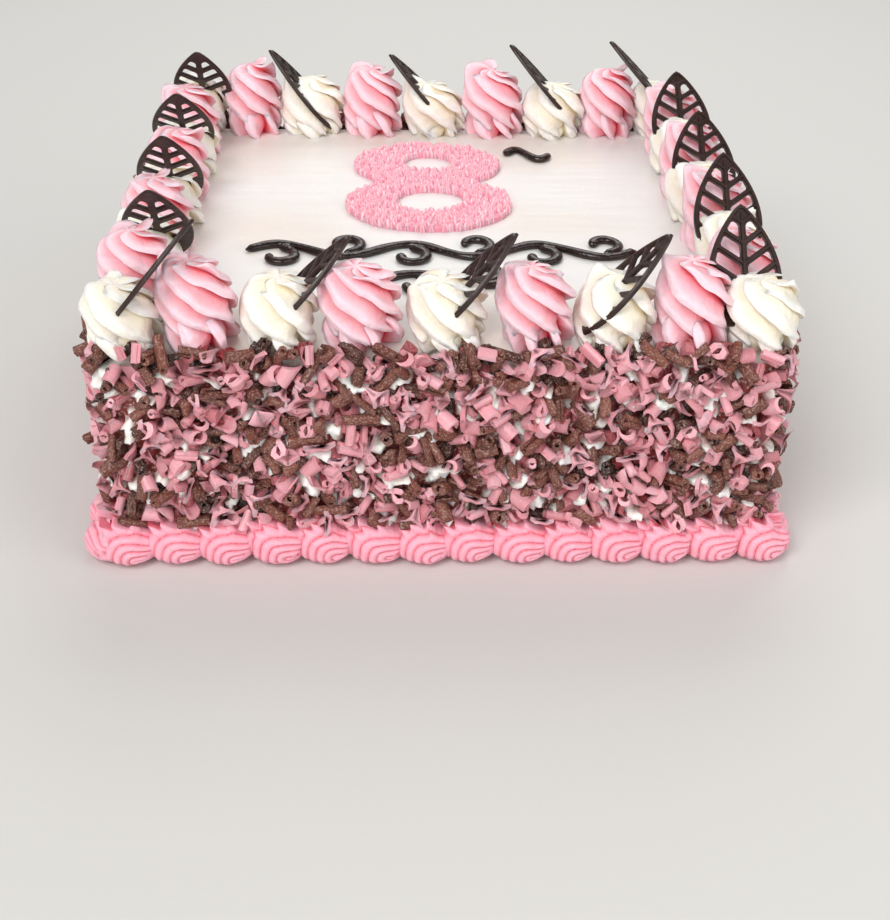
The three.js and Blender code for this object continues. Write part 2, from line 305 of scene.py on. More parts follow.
@dataclass(frozen=True)
class ShavedChocolate:
    """Chocolate shaved off a block: a dull, scored skin outside and a waxy inner face.

    An attribute from 0 to 1 mixes each curl's random tone with painted shade: it grows the deeper the
    curl lies in the heap, and the deep colour stands in for the shade between the curls. `grain` holds
    the points of the curl before it was placed, so that the scores run along it.
    """

    name: str
    base: str
    # the colour of curls that lie deep in the heap: painted shade
    deep_shade: str
    bloom: str
    scored: float = 0.12  # depth of the blade's marks
    roughness: float = 0.5
    bloom_share: float = 0.6
    glow: float = 0.3

    def make(self) -> Material:
        """Builds the material."""
        material, tree, place = new_material(self.name)
        # Painted shade: curls deep in the heap take the deep colour, mixed with a random tone.
        tone_and_shade = add_node(tree, "ShaderNodeAttribute", {"attribute_name": "tone_and_shade"}, {}).outputs["Fac"]
        colour = blend_colours(tree, tone_and_shade, srgb(self.base), srgb(self.deep_shade))
        grain = add_node(tree, "ShaderNodeAttribute", {"attribute_name": "grain"}, {})
        streaks = add_node(
            tree, "ShaderNodeMapping", {}, {"Vector": grain.outputs["Vector"], "Scale": (0.75, 1, 1)}
        ).outputs[0]
        dust = pattern(tree, streaks, 0.65, 0.46, 0.76, 3.0)
        share = add_node(
            tree, "ShaderNodeMath", {"operation": "MULTIPLY"}, {0: dust, 1: self.bloom_share}
        ).outputs[0]
        colour = blend_colours(tree, share, colour, srgb(self.bloom))
        shade(
            tree,
            {
                "Base Color": colour,
                "Roughness": self.roughness,
                "IOR": 1.48,
                "Subsurface Weight": self.glow,
                "Subsurface Radius": (1.0, 0.3, 0.25),
                "Subsurface Scale": 1.2 * MM,
                "Normal": bumps(
                    tree, dust, self.scored, bumps(tree, pattern(tree, place, 1.4), self.scored)
                ),
            },
        )
        return material


@dataclass(frozen=True)
class DarkChocolate:
    """Dark chocolate set in a mould or piped: nearly black, smooth, with a soft sheen."""

    name: str
    base: str
    worn: str
    roughness: float
    wave: float  # depth of its slow unevenness

    def make(self) -> Material:
        """Builds the material."""
        material, tree, place = new_material(self.name)
        cloudy = pattern(tree, place, 5.0, 0.4, 0.75)
        colour = blend_colours(tree, cloudy, srgb(self.base), srgb(self.worn))
        shade(
            tree,
            {
                "Base Color": colour,
                "Roughness": self.roughness,
                "IOR": 1.5,
                "Normal": bumps(tree, pattern(tree, place, 2.5), self.wave),
            },
        )
        return material


@dataclass(frozen=True)
class StudioPaper:
    """A pale paper floor with a faint tooth."""

    name: str
    colour: str

    def make(self) -> Material:
        """Builds the material."""
        material, tree, place = new_material(self.name)
        tooth = bumps(tree, pattern(tree, place, 2.0), 0.02)
        shade(tree, {"Base Color": srgb(self.colour), "Roughness": 0.8, "Normal": tooth})
        return material


# The second colour of each piped cream is painted shade, laid into its folds.
PINK_ROSETTE = PipedCream("piped_pink_buttercream", "FFD8E2", "EE2440", glow=1.6)
WHITE_ROSETTE = PipedCream("piped_whipped_cream", "F6F3EC", "F2E1BC", 1.5, (1.0, 0.85, 0.68))
PINK_BORDER = PipedCream("piped_deep_pink_buttercream", "FDB6C7", "E03C58", glow=1.0)
PINK_NUMERAL = PipedCream("star_piped_pink_buttercream", "FFDCE4", "F29DB0", glow=1.0)
# The third colour is painted light for the walls, the fourth painted shade between the curls.
CREAM_COAT = SpreadCream("palette_knifed_cream", "EAE8E6", "E7DFD8", "FFFDF6", "92403A")
# The second colour of each chocolate is painted shade for curls that lie deep in the heap.
BROWN_CURLS = ShavedChocolate(
    "shaved_milk_chocolate", "7C4334", "1A0404", "D2B8AE", scored=0.1, bloom_share=0.58, glow=0.05
)
PINK_CURLS = ShavedChocolate(
    "shaved_pink_chocolate", "FFB5BF", "8E2A2E", "FFE4E9", 0.02, 0.34, bloom_share=0.22, glow=0.5
)
LEAF_CHOCOLATE = DarkChocolate("moulded_dark_chocolate", "28140F", "38221B", 0.36, 0.08)
PIPED_CHOCOLATE = DarkChocolate("piped_dark_chocolate", "1E0F0C", "2B1914", 0.13, 0.12)


# ------------------------------------------------------------------ mesh helpers


def deselect_all() -> None:
    """Leaves nothing selected, so that an operator acts only on what is picked next."""
    if bpy.context.mode != "OBJECT":
        bpy.ops.object.mode_set(mode="OBJECT")
    bpy.ops.object.select_all(action="DESELECT")


def pick(*objects: Object) -> None:
    """Selects just these objects and makes the first one active."""
    deselect_all()
    for obj in objects:
        obj.select_set(True)
    bpy.context.view_layer.objects.active = objects[0]


def points_of(obj: Object) -> Array:
    """The object's points as an array in millimetres."""
    flat = np.empty(len(obj.data.vertices) * 3)
    obj.data.vertices.foreach_get("co", flat)
    return flat.reshape(-1, 3) / MM


def place_points(obj: Object, points: Array) -> None:
    """Writes the object's points, given in millimetres."""
    obj.data.vertices.foreach_set("co", (points * MM).ravel())
    obj.data.update()


def mark_points(obj: Object, name: str, values: Array) -> None:
    """Stores one value for each point, which a material reads by this name."""
    layer = obj.data.attributes.new(name, "FLOAT", "POINT")
    layer.data.foreach_set("value", values.astype(np.float32))


def add_sheet(name: str, columns: int, rows: int) -> Object:
    """Adds a flat grid that is then bent into a piece.

    Args:
        name: the object's name.
        columns: faces along X.
        rows: faces along Y.

    Returns:
        The grid, whose points run along X first.
    """
    deselect_all()
    bpy.ops.mesh.primitive_grid_add(x_subdivisions=columns, y_subdivisions=rows, size=1)
    obj = bpy.context.object
    obj.name = name
    return obj


def close_seams(obj: Object, gap: float = 0.002) -> None:
    """Welds points that lie together and turns the faces outwards.

    Args:
        obj: the piece.
        gap: the widest gap that is welded, in millimetres.
    """
    pick(obj)
    bpy.ops.object.mode_set(mode="EDIT")
    bpy.ops.mesh.select_all(action="SELECT")
    bpy.ops.mesh.remove_doubles(threshold=gap * MM)
    bpy.ops.mesh.normals_make_consistent(inside=False)
    bpy.ops.object.mode_set(mode="OBJECT")


def add_modifier(obj: Object, kind: str, **settings: object) -> None:
    """Adds a modifier to an object and applies it."""
    pick(obj)
    modifier = obj.modifiers.new(kind.lower(), kind)
    for key, value in settings.items():
        setattr(modifier, key, value)
    bpy.ops.object.modifier_apply(modifier=modifier.name)


def smooth(obj: Object, angle: float | None = None) -> None:
    """Shades the object smooth, or only across edges flatter than `angle` degrees."""
    pick(obj)
    if angle is None:
        bpy.ops.object.shade_smooth()
    else:
        bpy.ops.object.shade_smooth_by_angle(angle=math.radians(angle))


def join_as(name: str, objects: list[Object]) -> Object:
    """Joins objects into one.

    Args:
        name: the name of the joined object.
        objects: what is joined.

    Returns:
        The joined object.
    """
    pick(*objects)
    if len(objects) > 1:
        bpy.ops.object.join()
    joined = bpy.context.view_layer.objects.active
    joined.name = name
    joined.data.name = name
    return joined


def copy_as(name: str, model: Object) -> Object:
    """Copies an object together with its mesh."""
    copy = model.copy()
    copy.data = model.data.copy()
    copy.name = name
    copy.data.name = name
    bpy.context.scene.collection.objects.link(copy)
    return copy


def discard(*objects: Object) -> None:
    """Removes models that have been copied."""
    for obj in objects:
        bpy.data.objects.remove(obj)


def curve_to_mesh(name: str, curve: bpy.types.Curve) -> Object:
    """Turns curve data into a mesh object.

    Args:
        name: the object's name.
        curve: the curve with its bevel or extrusion set.

    Returns:
        The mesh object.
    """
    obj = bpy.data.objects.new(name, curve)
    bpy.context.scene.collection.objects.link(obj)
    pick(obj)
    bpy.ops.object.convert(target="MESH")
    return bpy.context.object


def add_line(curve: bpy.types.Curve, points: Array, closed: bool, radii: Array | None = None) -> None:
    """Adds one straight-stepped line to a curve.

    Args:
        curve: the curve data.
        points: the line's points in millimetres, two or three values each.
        closed: whether the last point joins the first.
        radii: the bevel's share at each point.
    """
    line = curve.splines.new("POLY")
    line.points.add(len(points) - 1)
    for i, point in enumerate(points):
        z = point[2] if len(point) > 2 else 0.0
        line.points[i].co = (point[0] * MM, point[1] * MM, z * MM, 1)
        if radii is not None:
            line.points[i].radius = radii[i]
    line.use_cyclic_u = closed


def side_matrix(side: int) -> Matrix:
    """The turn that carries the front side of the cake to side number `side`."""
    return Matrix.Rotation(side * math.pi / 2, 4, "Z")


def smoothstep(low: float, high: float, values: Array) -> Array:
    """Eases from 0 at `low` to 1 at `high`."""
    t = np.clip((values - low) / (high - low), 0, 1)
    return t * t * (3 - 2 * t)


def roughen(points: Array, width: float, depth: float, seed: float) -> Array:
    """Pushes points about by a soft noise.

    Args:
        points: the points in millimetres.
        width: size of the noise's swells.
        depth: how far a point moves at most.
        seed: shifts the noise, so that no two pieces are alike.

    Returns:
        The moved points.
    """
    moved = points.copy()
    for i, point in enumerate(points):
        moved[i] += np.array(noise.noise_vector(Vector(point / width) + Vector((seed, 0, 0)))) * depth
    return moved


def finish_piece(obj: Object, material: Material, nodes: list[str]) -> None:
    """Dresses a piece, hangs it on the body and hides the frame's nodes that it replaces.

    Args:
        obj: the piece.
        material: its finish.
        nodes: the frame's nodes that it replaces.
    """
    obj.data.materials.clear()
    obj.data.materials.append(material)
    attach(obj, BODY)
    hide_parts(*nodes)
    LOG.info("%s: %d faces", obj.name, len(obj.data.polygons))


# ------------------------------------------------------------------ cake and its coat


@dataclass
class CakeBody:
    """The uncut cake under smooth cream, a little smaller than its coat of curls."""

    half: float = 130.3
    height: float = 91.0
    corner: float = 12.0
    top_edge: float = 3.0
    corner_steps: int = 6
    edge_steps: int = 3
    swell: float = 1.8  # slow unevenness of the cream under the curls
    swell_width: float = 7.0
    peak: float = 5.2  # open peaks of cream that stay bare between the curls
    peak_width: float = 5.6
    tear: float = 3.4  # how rough the torn cream of a peak is
    tear_width: float = 2.6
    peak_from: float = 0.16  # noise value where a peak starts to rise

    def perimeter(self) -> float:
        """Length round the wall."""
        flat = 2 * (self.half - self.corner)
        return 4 * flat + 2 * math.pi * self.corner

    def wall_place(self, along: float) -> tuple[Vector, Vector]:
        """A place on the wall.

        Args:
            along: distance round the wall from the front side's left end.

        Returns:
            The point at the foot of the wall and the direction outwards.
        """
        flat = 2 * (self.half - self.corner)
        arc = math.pi * self.corner / 2
        side, rest = divmod(along % self.perimeter(), flat + arc)
        if rest < flat:
            point = Vector((rest - flat / 2, -self.half, 0))
            outward = Vector((0, -1, 0))
        else:
            angle = (rest - flat) / self.corner - math.pi / 2
            outward = Vector((math.cos(angle), math.sin(angle), 0))
            point = Vector((flat / 2, -flat / 2, 0)) + outward * self.corner
        turn = side_matrix(int(side)).to_3x3()
        return turn @ point, turn @ outward

    def build(self) -> Object:
        """Models the cake from a block with rounded corners and a soft top edge."""
        deselect_all()
        size = (2 * self.half * MM, 2 * self.half * MM, self.height * MM)
        bpy.ops.mesh.primitive_cube_add(size=1, location=(0, 0, size[2] / 2), scale=size)
        cake = bpy.context.object
        bpy.ops.object.transform_apply(location=True, rotation=True, scale=True)
        for edge in cake.data.edges:
            ends = [cake.data.vertices[v].co for v in edge.vertices]
            edge.select = abs(ends[0].z - ends[1].z) > self.height * MM / 2
        self._edit(cake, self.corner, self.corner_steps)
        for edge in cake.data.edges:
            edge.select = all(
                cake.data.vertices[v].co.z > (self.height - 0.1) * MM for v in edge.vertices
            )
        self._edit(cake, self.top_edge, self.edge_steps)
        add_modifier(cake, "REMESH", mode="VOXEL", voxel_size=1.8 * MM)
        points = points_of(cake)
        points, wall, covered = self._drag_cream(points)
        place_points(cake, points)
        # Shares of the walls' painted light and of the painted shade under the curls.
        mark_points(cake, "dragged", wall)
        mark_points(cake, "gap_shaded", covered)
        smooth(cake)
        return join_as("cream_coated_cake", [cake])

    def _edit(self, cake: Object, width: float, steps: int) -> None:
        """Bevels the selected edges."""
        bpy.context.view_layer.objects.active = cake
        bpy.ops.object.mode_set(mode="EDIT")
        bpy.ops.mesh.select_mode(type="EDGE")
        bpy.ops.mesh.bevel(offset=width * MM, segments=steps, affect="EDGES")
        bpy.ops.mesh.select_all(action="DESELECT")
        bpy.ops.object.mode_set(mode="OBJECT")

    def peaks(self, places: Array) -> tuple[Array, Array]:
        """The cream's rough relief on the wall.

        Args:
            places: places on the smooth wall in millimetres.

        Returns:
            How far the cream stands out there, and from 0 to 1 how much of an open peak it is.
        """
        swell = [noise.noise(Vector(place / self.swell_width)) for place in places]
        crest = [noise.noise(Vector(place / self.peak_width) + Vector((40, 0, 0))) for place in places]
        rough = [noise.noise(Vector(place / self.tear_width)) for place in places]
        share = smoothstep(self.peak_from, self.peak_from + 0.22, np.array(crest))
        fade = smoothstep(self.height + 1, self.height - 6, places[:, 2])
        height = self.swell * np.array(swell) * 2 + share * (self.peak + self.tear * np.array(rough))
        return height * fade, share * fade

    def _drag_cream(self, points: Array) -> tuple[Array, Array, Array]:
        """Leaves the top smooth and drags the cream on the walls into swells and peaks.

        Args:
            points: the smooth cake's points in millimetres.

        Returns:
            The dragged points, how much of the wall each belongs to, which takes the painted light of the
            walls, and how much of it lies under the curls there, which takes painted shade, both from 0 to
            1.
        """
        inner = self.half - self.corner
        away = points[:, :2] - np.clip(points[:, :2], -inner, inner)
        length = np.maximum(np.linalg.norm(away, axis=1), 1e-6)
        wall = smoothstep(self.corner - 3, self.corner - 1, length)
        wall *= smoothstep(6, 16, points[:, 2])
        height, bare = self.peaks(points)
        dragged = points.copy()
        dragged[:, :2] += away / length[:, None] * (wall * height)[:, None]
        # Painted shade goes where the curls cover the wall: away from bare peaks and below the top edge.
        covered = wall * smoothstep(0.35, 0.0, bare) * smoothstep(self.height, self.height - 8, points[:, 2])
        return dragged, wall, covered


class CurlKind(Enum):
    """The ways in which shaved chocolate curls up."""

    ROLL = "roll"
    HALF_ROLL = "half roll"
    SHARD = "shard"
    HORN = "horn"
    LOOP = "loop"


@dataclass(frozen=True)
class CurlShape:
    """One shaving: a strip that bends as it goes and changes its width.

    `turns` is how far each step bends the strip, in degrees, and `widths` how wide the strip
    is at each step, as a share of `width`.
    """

    kind: CurlKind
    width: float
    length: float
    turns: tuple[float, ...]
    widths: tuple[float, ...]
    thickness: float = 0.7
    skew: float = 0.0
    bulk: float = 3.4  # how far it stands out when it lies flat
    cup: float = 0.0  # how far its middle is pushed out, as a share of its half width


ROLL_TURNS = (34, 36, 38, 40, 42, 44, 46, 50, 54, 60)
ROLL_EDGE = (0.86, 0.98, 1, 0.95, 1, 0.97, 1, 0.93, 1, 0.92, 0.8)
HALF_TURNS = (18, 26, 32, 34, 30, 26)
FLARE_TURNS = (30, 26, 18, 8, -6, -14)
BROWN_SHAPES = (
    CurlShape(CurlKind.ROLL, 11.5, 13.0, ROLL_TURNS, ROLL_EDGE, 0.55),
    CurlShape(CurlKind.ROLL, 8.5, 14.5, ROLL_TURNS, ROLL_EDGE[::-1], 0.55),
    CurlShape(CurlKind.ROLL, 13.5, 11.0, ROLL_TURNS, ROLL_EDGE, 0.55, 7),
    CurlShape(CurlKind.HALF_ROLL, 9.5, 9.0, HALF_TURNS, (0.5, 0.85, 1, 0.94, 0.97, 0.8, 0.4), 0.6),
    CurlShape(
        CurlKind.HALF_ROLL, 7.0, 11.0, HALF_TURNS, (0.3, 0.7, 1, 0.97, 0.8, 0.5, 0.2), 0.6, -10
    ),
    CurlShape(CurlKind.SHARD, 6.5, 7.5, (14, 22, 24, 16), (0.3, 0.8, 1, 0.8, 0.3), 0.6, cup=0.3),
)
BROWN_WEIGHTS = (0.24, 0.22, 0.16, 0.14, 0.12, 0.12)  # how often each shape is thrown
PINK_SHAPES = (
    CurlShape(
        CurlKind.SHARD, 11, 11.5, FLARE_TURNS, (1, 0.6, 0.38, 0.26, 0.18, 0.12, 0.06), 0.42, 5, cup=-0.3
    ),
    CurlShape(
        CurlKind.SHARD, 9, 8.5, FLARE_TURNS, (1, 0.84, 0.62, 0.42, 0.26, 0.14, 0.05), 0.42, -8, cup=0.4
    ),
    CurlShape(CurlKind.HALF_ROLL, 7.5, 9.5, HALF_TURNS, (1, 0.98, 0.96, 0.97, 0.94, 0.9, 0.84), 0.42, 4),
    CurlShape(
        CurlKind.HORN, 9, 13, (22, 32, 38, 44, 50, 56), (1, 0.92, 0.8, 0.64, 0.46, 0.28, 0.1), 0.42, 10
    ),
    CurlShape(
        CurlKind.LOOP,
        3.8,
        20.0,
        (6, 16, 34, 52, 60, 58, 40, 14, -10),
        (0.3, 0.8, 1, 1, 1, 1, 1, 0.9, 0.7, 0.3),
        0.42,
    ),
    CurlShape(CurlKind.ROLL, 9.0, 12.0, ROLL_TURNS, ROLL_EDGE, 0.42, 3),
    CurlShape(
        CurlKind.SHARD, 9.5, 9, (-14, 10, 26, 32, 20), (0.1, 0.45, 0.85, 1, 0.5, 0.08), 0.42, cup=0.5
    ),
)
PINK_WEIGHTS = (0.2, 0.14, 0.16, 0.14, 0.1, 0.12, 0.14)


def model_curl(shape: CurlShape) -> Object:
    """Models one shaving by drawing out an edge step by step and giving it thickness.

    Args:
        shape: how the shaving bends.

    Returns:
        The curl, centred on the origin, its roll's axis along X.
    """
    deselect_all()
    columns = 2 if shape.cup else 1
    bpy.ops.mesh.primitive_grid_add(x_subdivisions=columns, y_subdivisions=1, size=1)
    curl = bpy.context.object
    curl.name = shape.kind.value
    step = shape.length / (len(shape.turns) + 1)
    start = shape.width / 2 * shape.widths[0]
    points = points_of(curl) * MM
    points[:, 0] *= 2 * start
    points[:, 1] = np.where(points[:, 1] > 0, step, 0.0)
    place_points(curl, points)
    first = points[:, 1] > 0
    for edge in curl.data.edges:
        edge.select = all(first[v] for v in edge.vertices)
    bpy.ops.object.mode_set(mode="EDIT")
    bpy.ops.mesh.select_mode(type="EDGE")
    heading = 0.0
    headings = [0.0, 0.0]
    for turn, before, after in zip(shape.turns, shape.widths, shape.widths[1:]):
        heading += math.radians(turn)
        headings.append(heading)
        move = (
            step * math.sin(math.radians(shape.skew)) * MM,
            step * math.cos(heading) * MM,
            step * math.sin(heading) * MM,
        )
        bpy.ops.mesh.extrude_edges_move(TRANSFORM_OT_translate={"value": move})
        bpy.ops.transform.resize(value=(after / before, 1, 1))
    bpy.ops.object.mode_set(mode="OBJECT")
    if shape.cup:
        place_points(curl, cup_strip(points_of(curl), np.array(headings), shape))
    add_modifier(curl, "SOLIDIFY", thickness=shape.thickness * MM, offset=0)
    centred = points_of(curl)
    place_points(curl, centred - (centred.min(axis=0) + centred.max(axis=0)) / 2)
    close_seams(curl)
    return curl


def cup_strip(points: Array, headings: Array, shape: CurlShape) -> Array:
    """Bends a strip of three columns across its width as well.

    Args:
        points: the strip's points, three to a row.
        headings: the direction in which each row was drawn out, in radians.
        shape: how the shaving bends.

    Returns:
        The points with the middle column pushed out of the strip.
    """
    rows = points.reshape(-1, 3, 3).copy()
    widths = (shape.widths[0], *shape.widths)
    for row, heading, width in zip(rows, headings, widths):
        middle = np.argsort(row[:, 0])[1]
        push = shape.cup * shape.width / 2 * width
        row[middle] += push * np.array([0.0, math.sin(heading), -math.cos(heading)])
    rows[0, np.argsort(rows[0, :, 0])[1], 1] += 0.16 * shape.width
    return rows.reshape(-1, 3)


@dataclass
class Shavings:
    """Faces and points of one model curl, ready to be repeated."""

    points: Array
    loops: Array
    starts: Array
    probes: Array  # places along its edges that feel what lies under it

    @classmethod
    def read(cls, curl: Object) -> "Shavings":
        """Reads a model curl and removes it."""
        loops = np.empty(len(curl.data.loops), dtype=np.int64)
        curl.data.loops.foreach_get("vertex_index", loops)
        starts = np.empty(len(curl.data.polygons), dtype=np.int64)
        curl.data.polygons.foreach_get("loop_start", starts)
        points = points_of(curl)
        ends = np.array([edge.vertices[:] for edge in curl.data.edges])
        probes = [points]
        for share in np.linspace(0, 1, 9)[1:-1]:
            probes.append(points[ends[:, 0]] * (1 - share) + points[ends[:, 1]] * share)
        spots = np.unique(np.round(np.concatenate(probes) / 0.7) * 0.7, axis=0)
        discard(curl)
        return cls(points, loops, starts, spots)


@dataclass
class Heap:
    """Many copies of small models, joined into one mesh."""

    name: str
    pieces: list[tuple[Array, Array, Array, float]] = field(default_factory=list)
    grains: list[Array] = field(default_factory=list)
    point_count: int = 0
    loop_count: int = 0

    def add(self, model: Shavings, place: Matrix, size: float, tone_and_shade: float) -> None:
        """Adds one copy.

        Args:
            model: what is copied.
            place: its turn and place, in millimetres.
            size: its size beside the model.
            tone_and_shade: its share of the deep colour, from 0 to 1: a random tone and painted shade.
        """
        turn = np.array(place.to_3x3())
        points = model.points * size @ turn.T + np.array(place.translation)
        self.pieces.append(
            (points, model.loops + self.point_count, model.starts + self.loop_count, tone_and_shade)
        )
        self.grains.append(model.points + 40 * tone_and_shade)
        self.point_count += len(points)
        self.loop_count += len(model.loops)

    def build(self) -> Object:
        """Joins the copies into one mesh."""
        points = np.concatenate([piece[0] for piece in self.pieces]) * MM
        loops = np.concatenate([piece[1] for piece in self.pieces])
        starts = np.concatenate([piece[2] for piece in self.pieces])
        tones_and_shades = np.concatenate([np.full(len(piece[0]), piece[3]) for piece in self.pieces])
        mesh = bpy.data.meshes.new(self.name)
        mesh.vertices.add(len(points))
        mesh.vertices.foreach_set("co", points.ravel())
        mesh.loops.add(len(loops))
        mesh.loops.foreach_set("vertex_index", loops)
        mesh.polygons.add(len(starts))
        mesh.polygons.foreach_set("loop_start", starts)
        mesh.update(calc_edges=True)
        heap = bpy.data.objects.new(self.name, mesh)
        bpy.context.scene.collection.objects.link(heap)
        # Each curl's share of random tone and painted shade.
        mark_points(heap, "tone_and_shade", tones_and_shades)
        grain = heap.data.attributes.new("grain", "FLOAT_VECTOR", "POINT")
        grain.data.foreach_set("vector", (np.concatenate(self.grains) * MM).ravel())
        smooth(heap, 55)
        return heap


CURL_FORMS = {
    "rolls": (CurlKind.ROLL, CurlKind.HORN),
    "ribbons": (CurlKind.HALF_ROLL, CurlKind.LOOP),
    "flakes": (CurlKind.SHARD,),
}


@dataclass
class CurlCoat:
    """Curls of one chocolate all round the cake: a heap each of rolls, ribbons and flakes."""

    label: str
    finish: ShavedChocolate
    shapes: tuple[CurlShape, ...]
    weights: tuple[float, ...]
    heaps: dict[str, Heap] = field(init=False)

    def __post_init__(self) -> None:
        """Names the heaps."""
        self.heaps = {form: Heap(f"{self.label}_{form}") for form in CURL_FORMS}

    def prepare(self) -> list[Shavings]:
        """Models every kind of curl once."""
        return [Shavings.read(model_curl(shape)) for shape in self.shapes]

    def heap_of(self, kind: CurlKind) -> Heap:
        """The heap that takes this kind of curl."""
        return next(self.heaps[form] for form, kinds in CURL_FORMS.items() if kind in kinds)

    def build(self) -> None:
        """Joins and dresses each heap."""
        material = self.finish.make()
        for heap in self.heaps.values():
            finish_piece(heap.build(), material, ["cake"])


@dataclass
class CurlShower:
    """Throws the curls of both chocolates at the wall, where each lies on those before it.

    A relief map of the unrolled wall keeps how far the heap stands out at each place.
    """

    body: CakeBody
    lowest: float = 17.5
    highest: float = 94.0
    cell: float = 1.0
    throws_per_cm2: float = 28.0
    tries: int = 3  # ways in which a curl may come to rest, of which the lowest is kept
    tallest: float = 6.0  # how far a curl's middle may stand off the wall
    sizes: tuple[float, float] = (0.76, 1.14)
    sunk: float = 0.5  # how deep a curl presses into what lies under it
    nestled: float = 0.86  # share of a curl that keeps clear of the heap
    brown_share: float = 0.4
    clump: float = 0.4
    stood_up: float = 0.4  # share of the rolls that show an open end
    bare: float = 0.95  # share of an open peak of cream that curls miss
    seed: int = 8
    relief: Array = field(default_factory=lambda: np.zeros((1, 1)))

    def throw(self, brown: CurlCoat, pink: CurlCoat) -> None:
        """Places every curl.

        Args:
            brown: the coat that takes the milk chocolate curls.
            pink: the coat that takes the pink ones.
        """
        rng = np.random.default_rng(self.seed)
        models = {id(coat): coat.prepare() for coat in (brown, pink)}
        around = self.body.perimeter()
        tall = self.highest - self.lowest
        peaks = self._spread_cream(around, tall)
        for _ in range(int(around * tall / 100 * self.throws_per_cm2)):
            along = rng.uniform(0, around)
            z = self.lowest + tall * rng.uniform(0, 1)
            wave = noise.noise(Vector((along / 17, z / 13, 4.0)))
            coat = brown if rng.random() + self.clump * wave < self.brown_share else pink
            number = rng.choice(len(coat.shapes), p=coat.weights)
            kind = coat.shapes[number].kind
            size = rng.uniform(*self.sizes)
            spot = (int(along / self.cell) % peaks.shape[0], int((z - self.lowest) / self.cell))
            if rng.random() < self.bare * peaks[spot]:
                continue
            model = models[id(coat)][number]
            rests = [self._drop(model, along, z, size, self._pose(kind, rng)) for _ in range(self.tries)]
            out, turn, cells, tops = min(rests, key=lambda rest: rest[0])
            if out > self.tallest:
                continue
            np.maximum.at(self.relief, cells, tops)
            # Painted shade: the deeper a curl lies in the heap, the more of the dark colour it takes, plus a
            # random tone.
            buried = 1 - np.clip(out / self.tallest, 0, 1)
            tone_and_shade = 0.95 * buried + 0.25 * rng.random()
            coat.heap_of(kind).add(model, self._place(along, z, out, turn), size, tone_and_shade)

    def _spread_cream(self, around: float, tall: float) -> Array:
        """Starts the relief map from the cream's own relief.

        Args:
            around: length round the wall.
            tall: height of the part that curls are thrown at.

        Returns:
            How much of an open peak the cream is at each cell, from 0 to 1.
        """
        columns = int(around / self.cell)
        rows = int(tall / self.cell) + 1
        places = np.empty((columns, rows, 3))
        for column in range(columns):
            foot, _ = self.body.wall_place((column + 0.5) * self.cell)
            places[column, :, :2] = foot.xy
            places[column, :, 2] = self.lowest + (np.arange(rows) + 0.5) * self.cell
        height, share = self.body.peaks(places.reshape(-1, 3))
        self.relief = height.reshape(columns, rows)
        return share.reshape(columns, rows)

    def _pose(self, kind: CurlKind, rng: np.random.Generator) -> tuple[Matrix, float]:
        """One way in which a curl may come to rest: a flake lies flat, a loop on its edge.

        Args:
            kind: the way it curls up.
            rng: the random generator.

        Returns:
            Its turn against the wall and how far its length is raised off it, in radians.
        """
        spin = rng.uniform(0, 2 * math.pi)
        anyhow = rng.uniform(0, 2 * math.pi)
        flat = rng.normal(0, 0.4) + math.pi * rng.integers(2)
        upright = rng.uniform(0.5, 1.15)
        raised = rng.normal(0, 0.16)
        stood = rng.random() < self.stood_up
        if kind is CurlKind.LOOP or (stood and kind is not CurlKind.SHARD):
            raised = upright
        rolled = flat if kind in (CurlKind.SHARD, CurlKind.HALF_ROLL) else anyhow
        turn = (
            Matrix.Rotation(spin, 3, "Z")
            @ Matrix.Rotation(-raised, 3, "Y")
            @ Matrix.Rotation(rolled, 3, "X")
        )
        return turn, abs(raised)

    def _drop(
        self, model: Shavings, along: float, z: float, size: float, pose: tuple[Matrix, float]
    ) -> tuple[float, Matrix, tuple[Array, Array], Array]:
        """Lets a curl fall on the heap.

        Args:
            model: the curl's form.
            along: distance round the wall.
            z: height.
            size: its size beside the model.
            pose: its turn against the wall and how far it is raised.

        Returns:
            How far its middle stands out, its turn, the cells it covers and its tops there.
        """
        turn, raised = pose
        probes = model.probes * size @ np.array(turn).T
        columns = ((along + probes[:, 0]) / self.cell).astype(int) % self.relief.shape[0]
        rows = ((z - self.lowest + probes[:, 1]) / self.cell).astype(int)
        rows = np.clip(rows, 0, self.relief.shape[1] - 1)
        gaps = np.sort(self.relief[columns, rows] - probes[:, 2])
        out = gaps[int(self.nestled * (len(gaps) - 1))] - self.sunk
        out -= 0.35 * math.sin(raised) * float(np.ptp(probes[:, 2])) / 2
        return out, turn, (columns, rows), out + probes[:, 2]

    def _place(self, along: float, z: float, out: float, turn: Matrix) -> Matrix:
        """A place on the wall for one curl.

        Args:
            along: distance round the wall.
            z: height.
            out: how far its middle stands off the wall.
            turn: its turn against the wall.

        Returns:
            The curl's turn and place in millimetres.
        """
        foot, outward = self.body.wall_place(along)
        tangent = Vector((0, 0, 1)).cross(outward)
        wall = Matrix((tangent, Vector((0, 0, 1)), outward)).transposed()
        return Matrix.Translation(foot + outward * out + Vector((0, 0, z))) @ (wall @ turn).to_4x4()


# ------------------------------------------------------------------ rosettes


# One fin of a star tip's rope, from the fold under it to the fold above it: places across
# the fin, and how deep the surface lies there. A steep wall climbs to a narrow crest with
# two sharp edges, and a broad hollow slope falls away behind it.
FIN_PLACES = (0.0, 0.03, 0.07, 0.11, 0.18, 0.27, 0.36, 0.43, 0.49, 0.56, 0.65, 0.75, 0.85, 0.94)
FIN_DEPTHS = (1.0, 0.82, 0.4, 0.07, 0.0, 0.06, 0.01, 0.11, 0.36, 0.5, 0.58, 0.65, 0.75, 0.9)
CREST_PLACE = 0.26


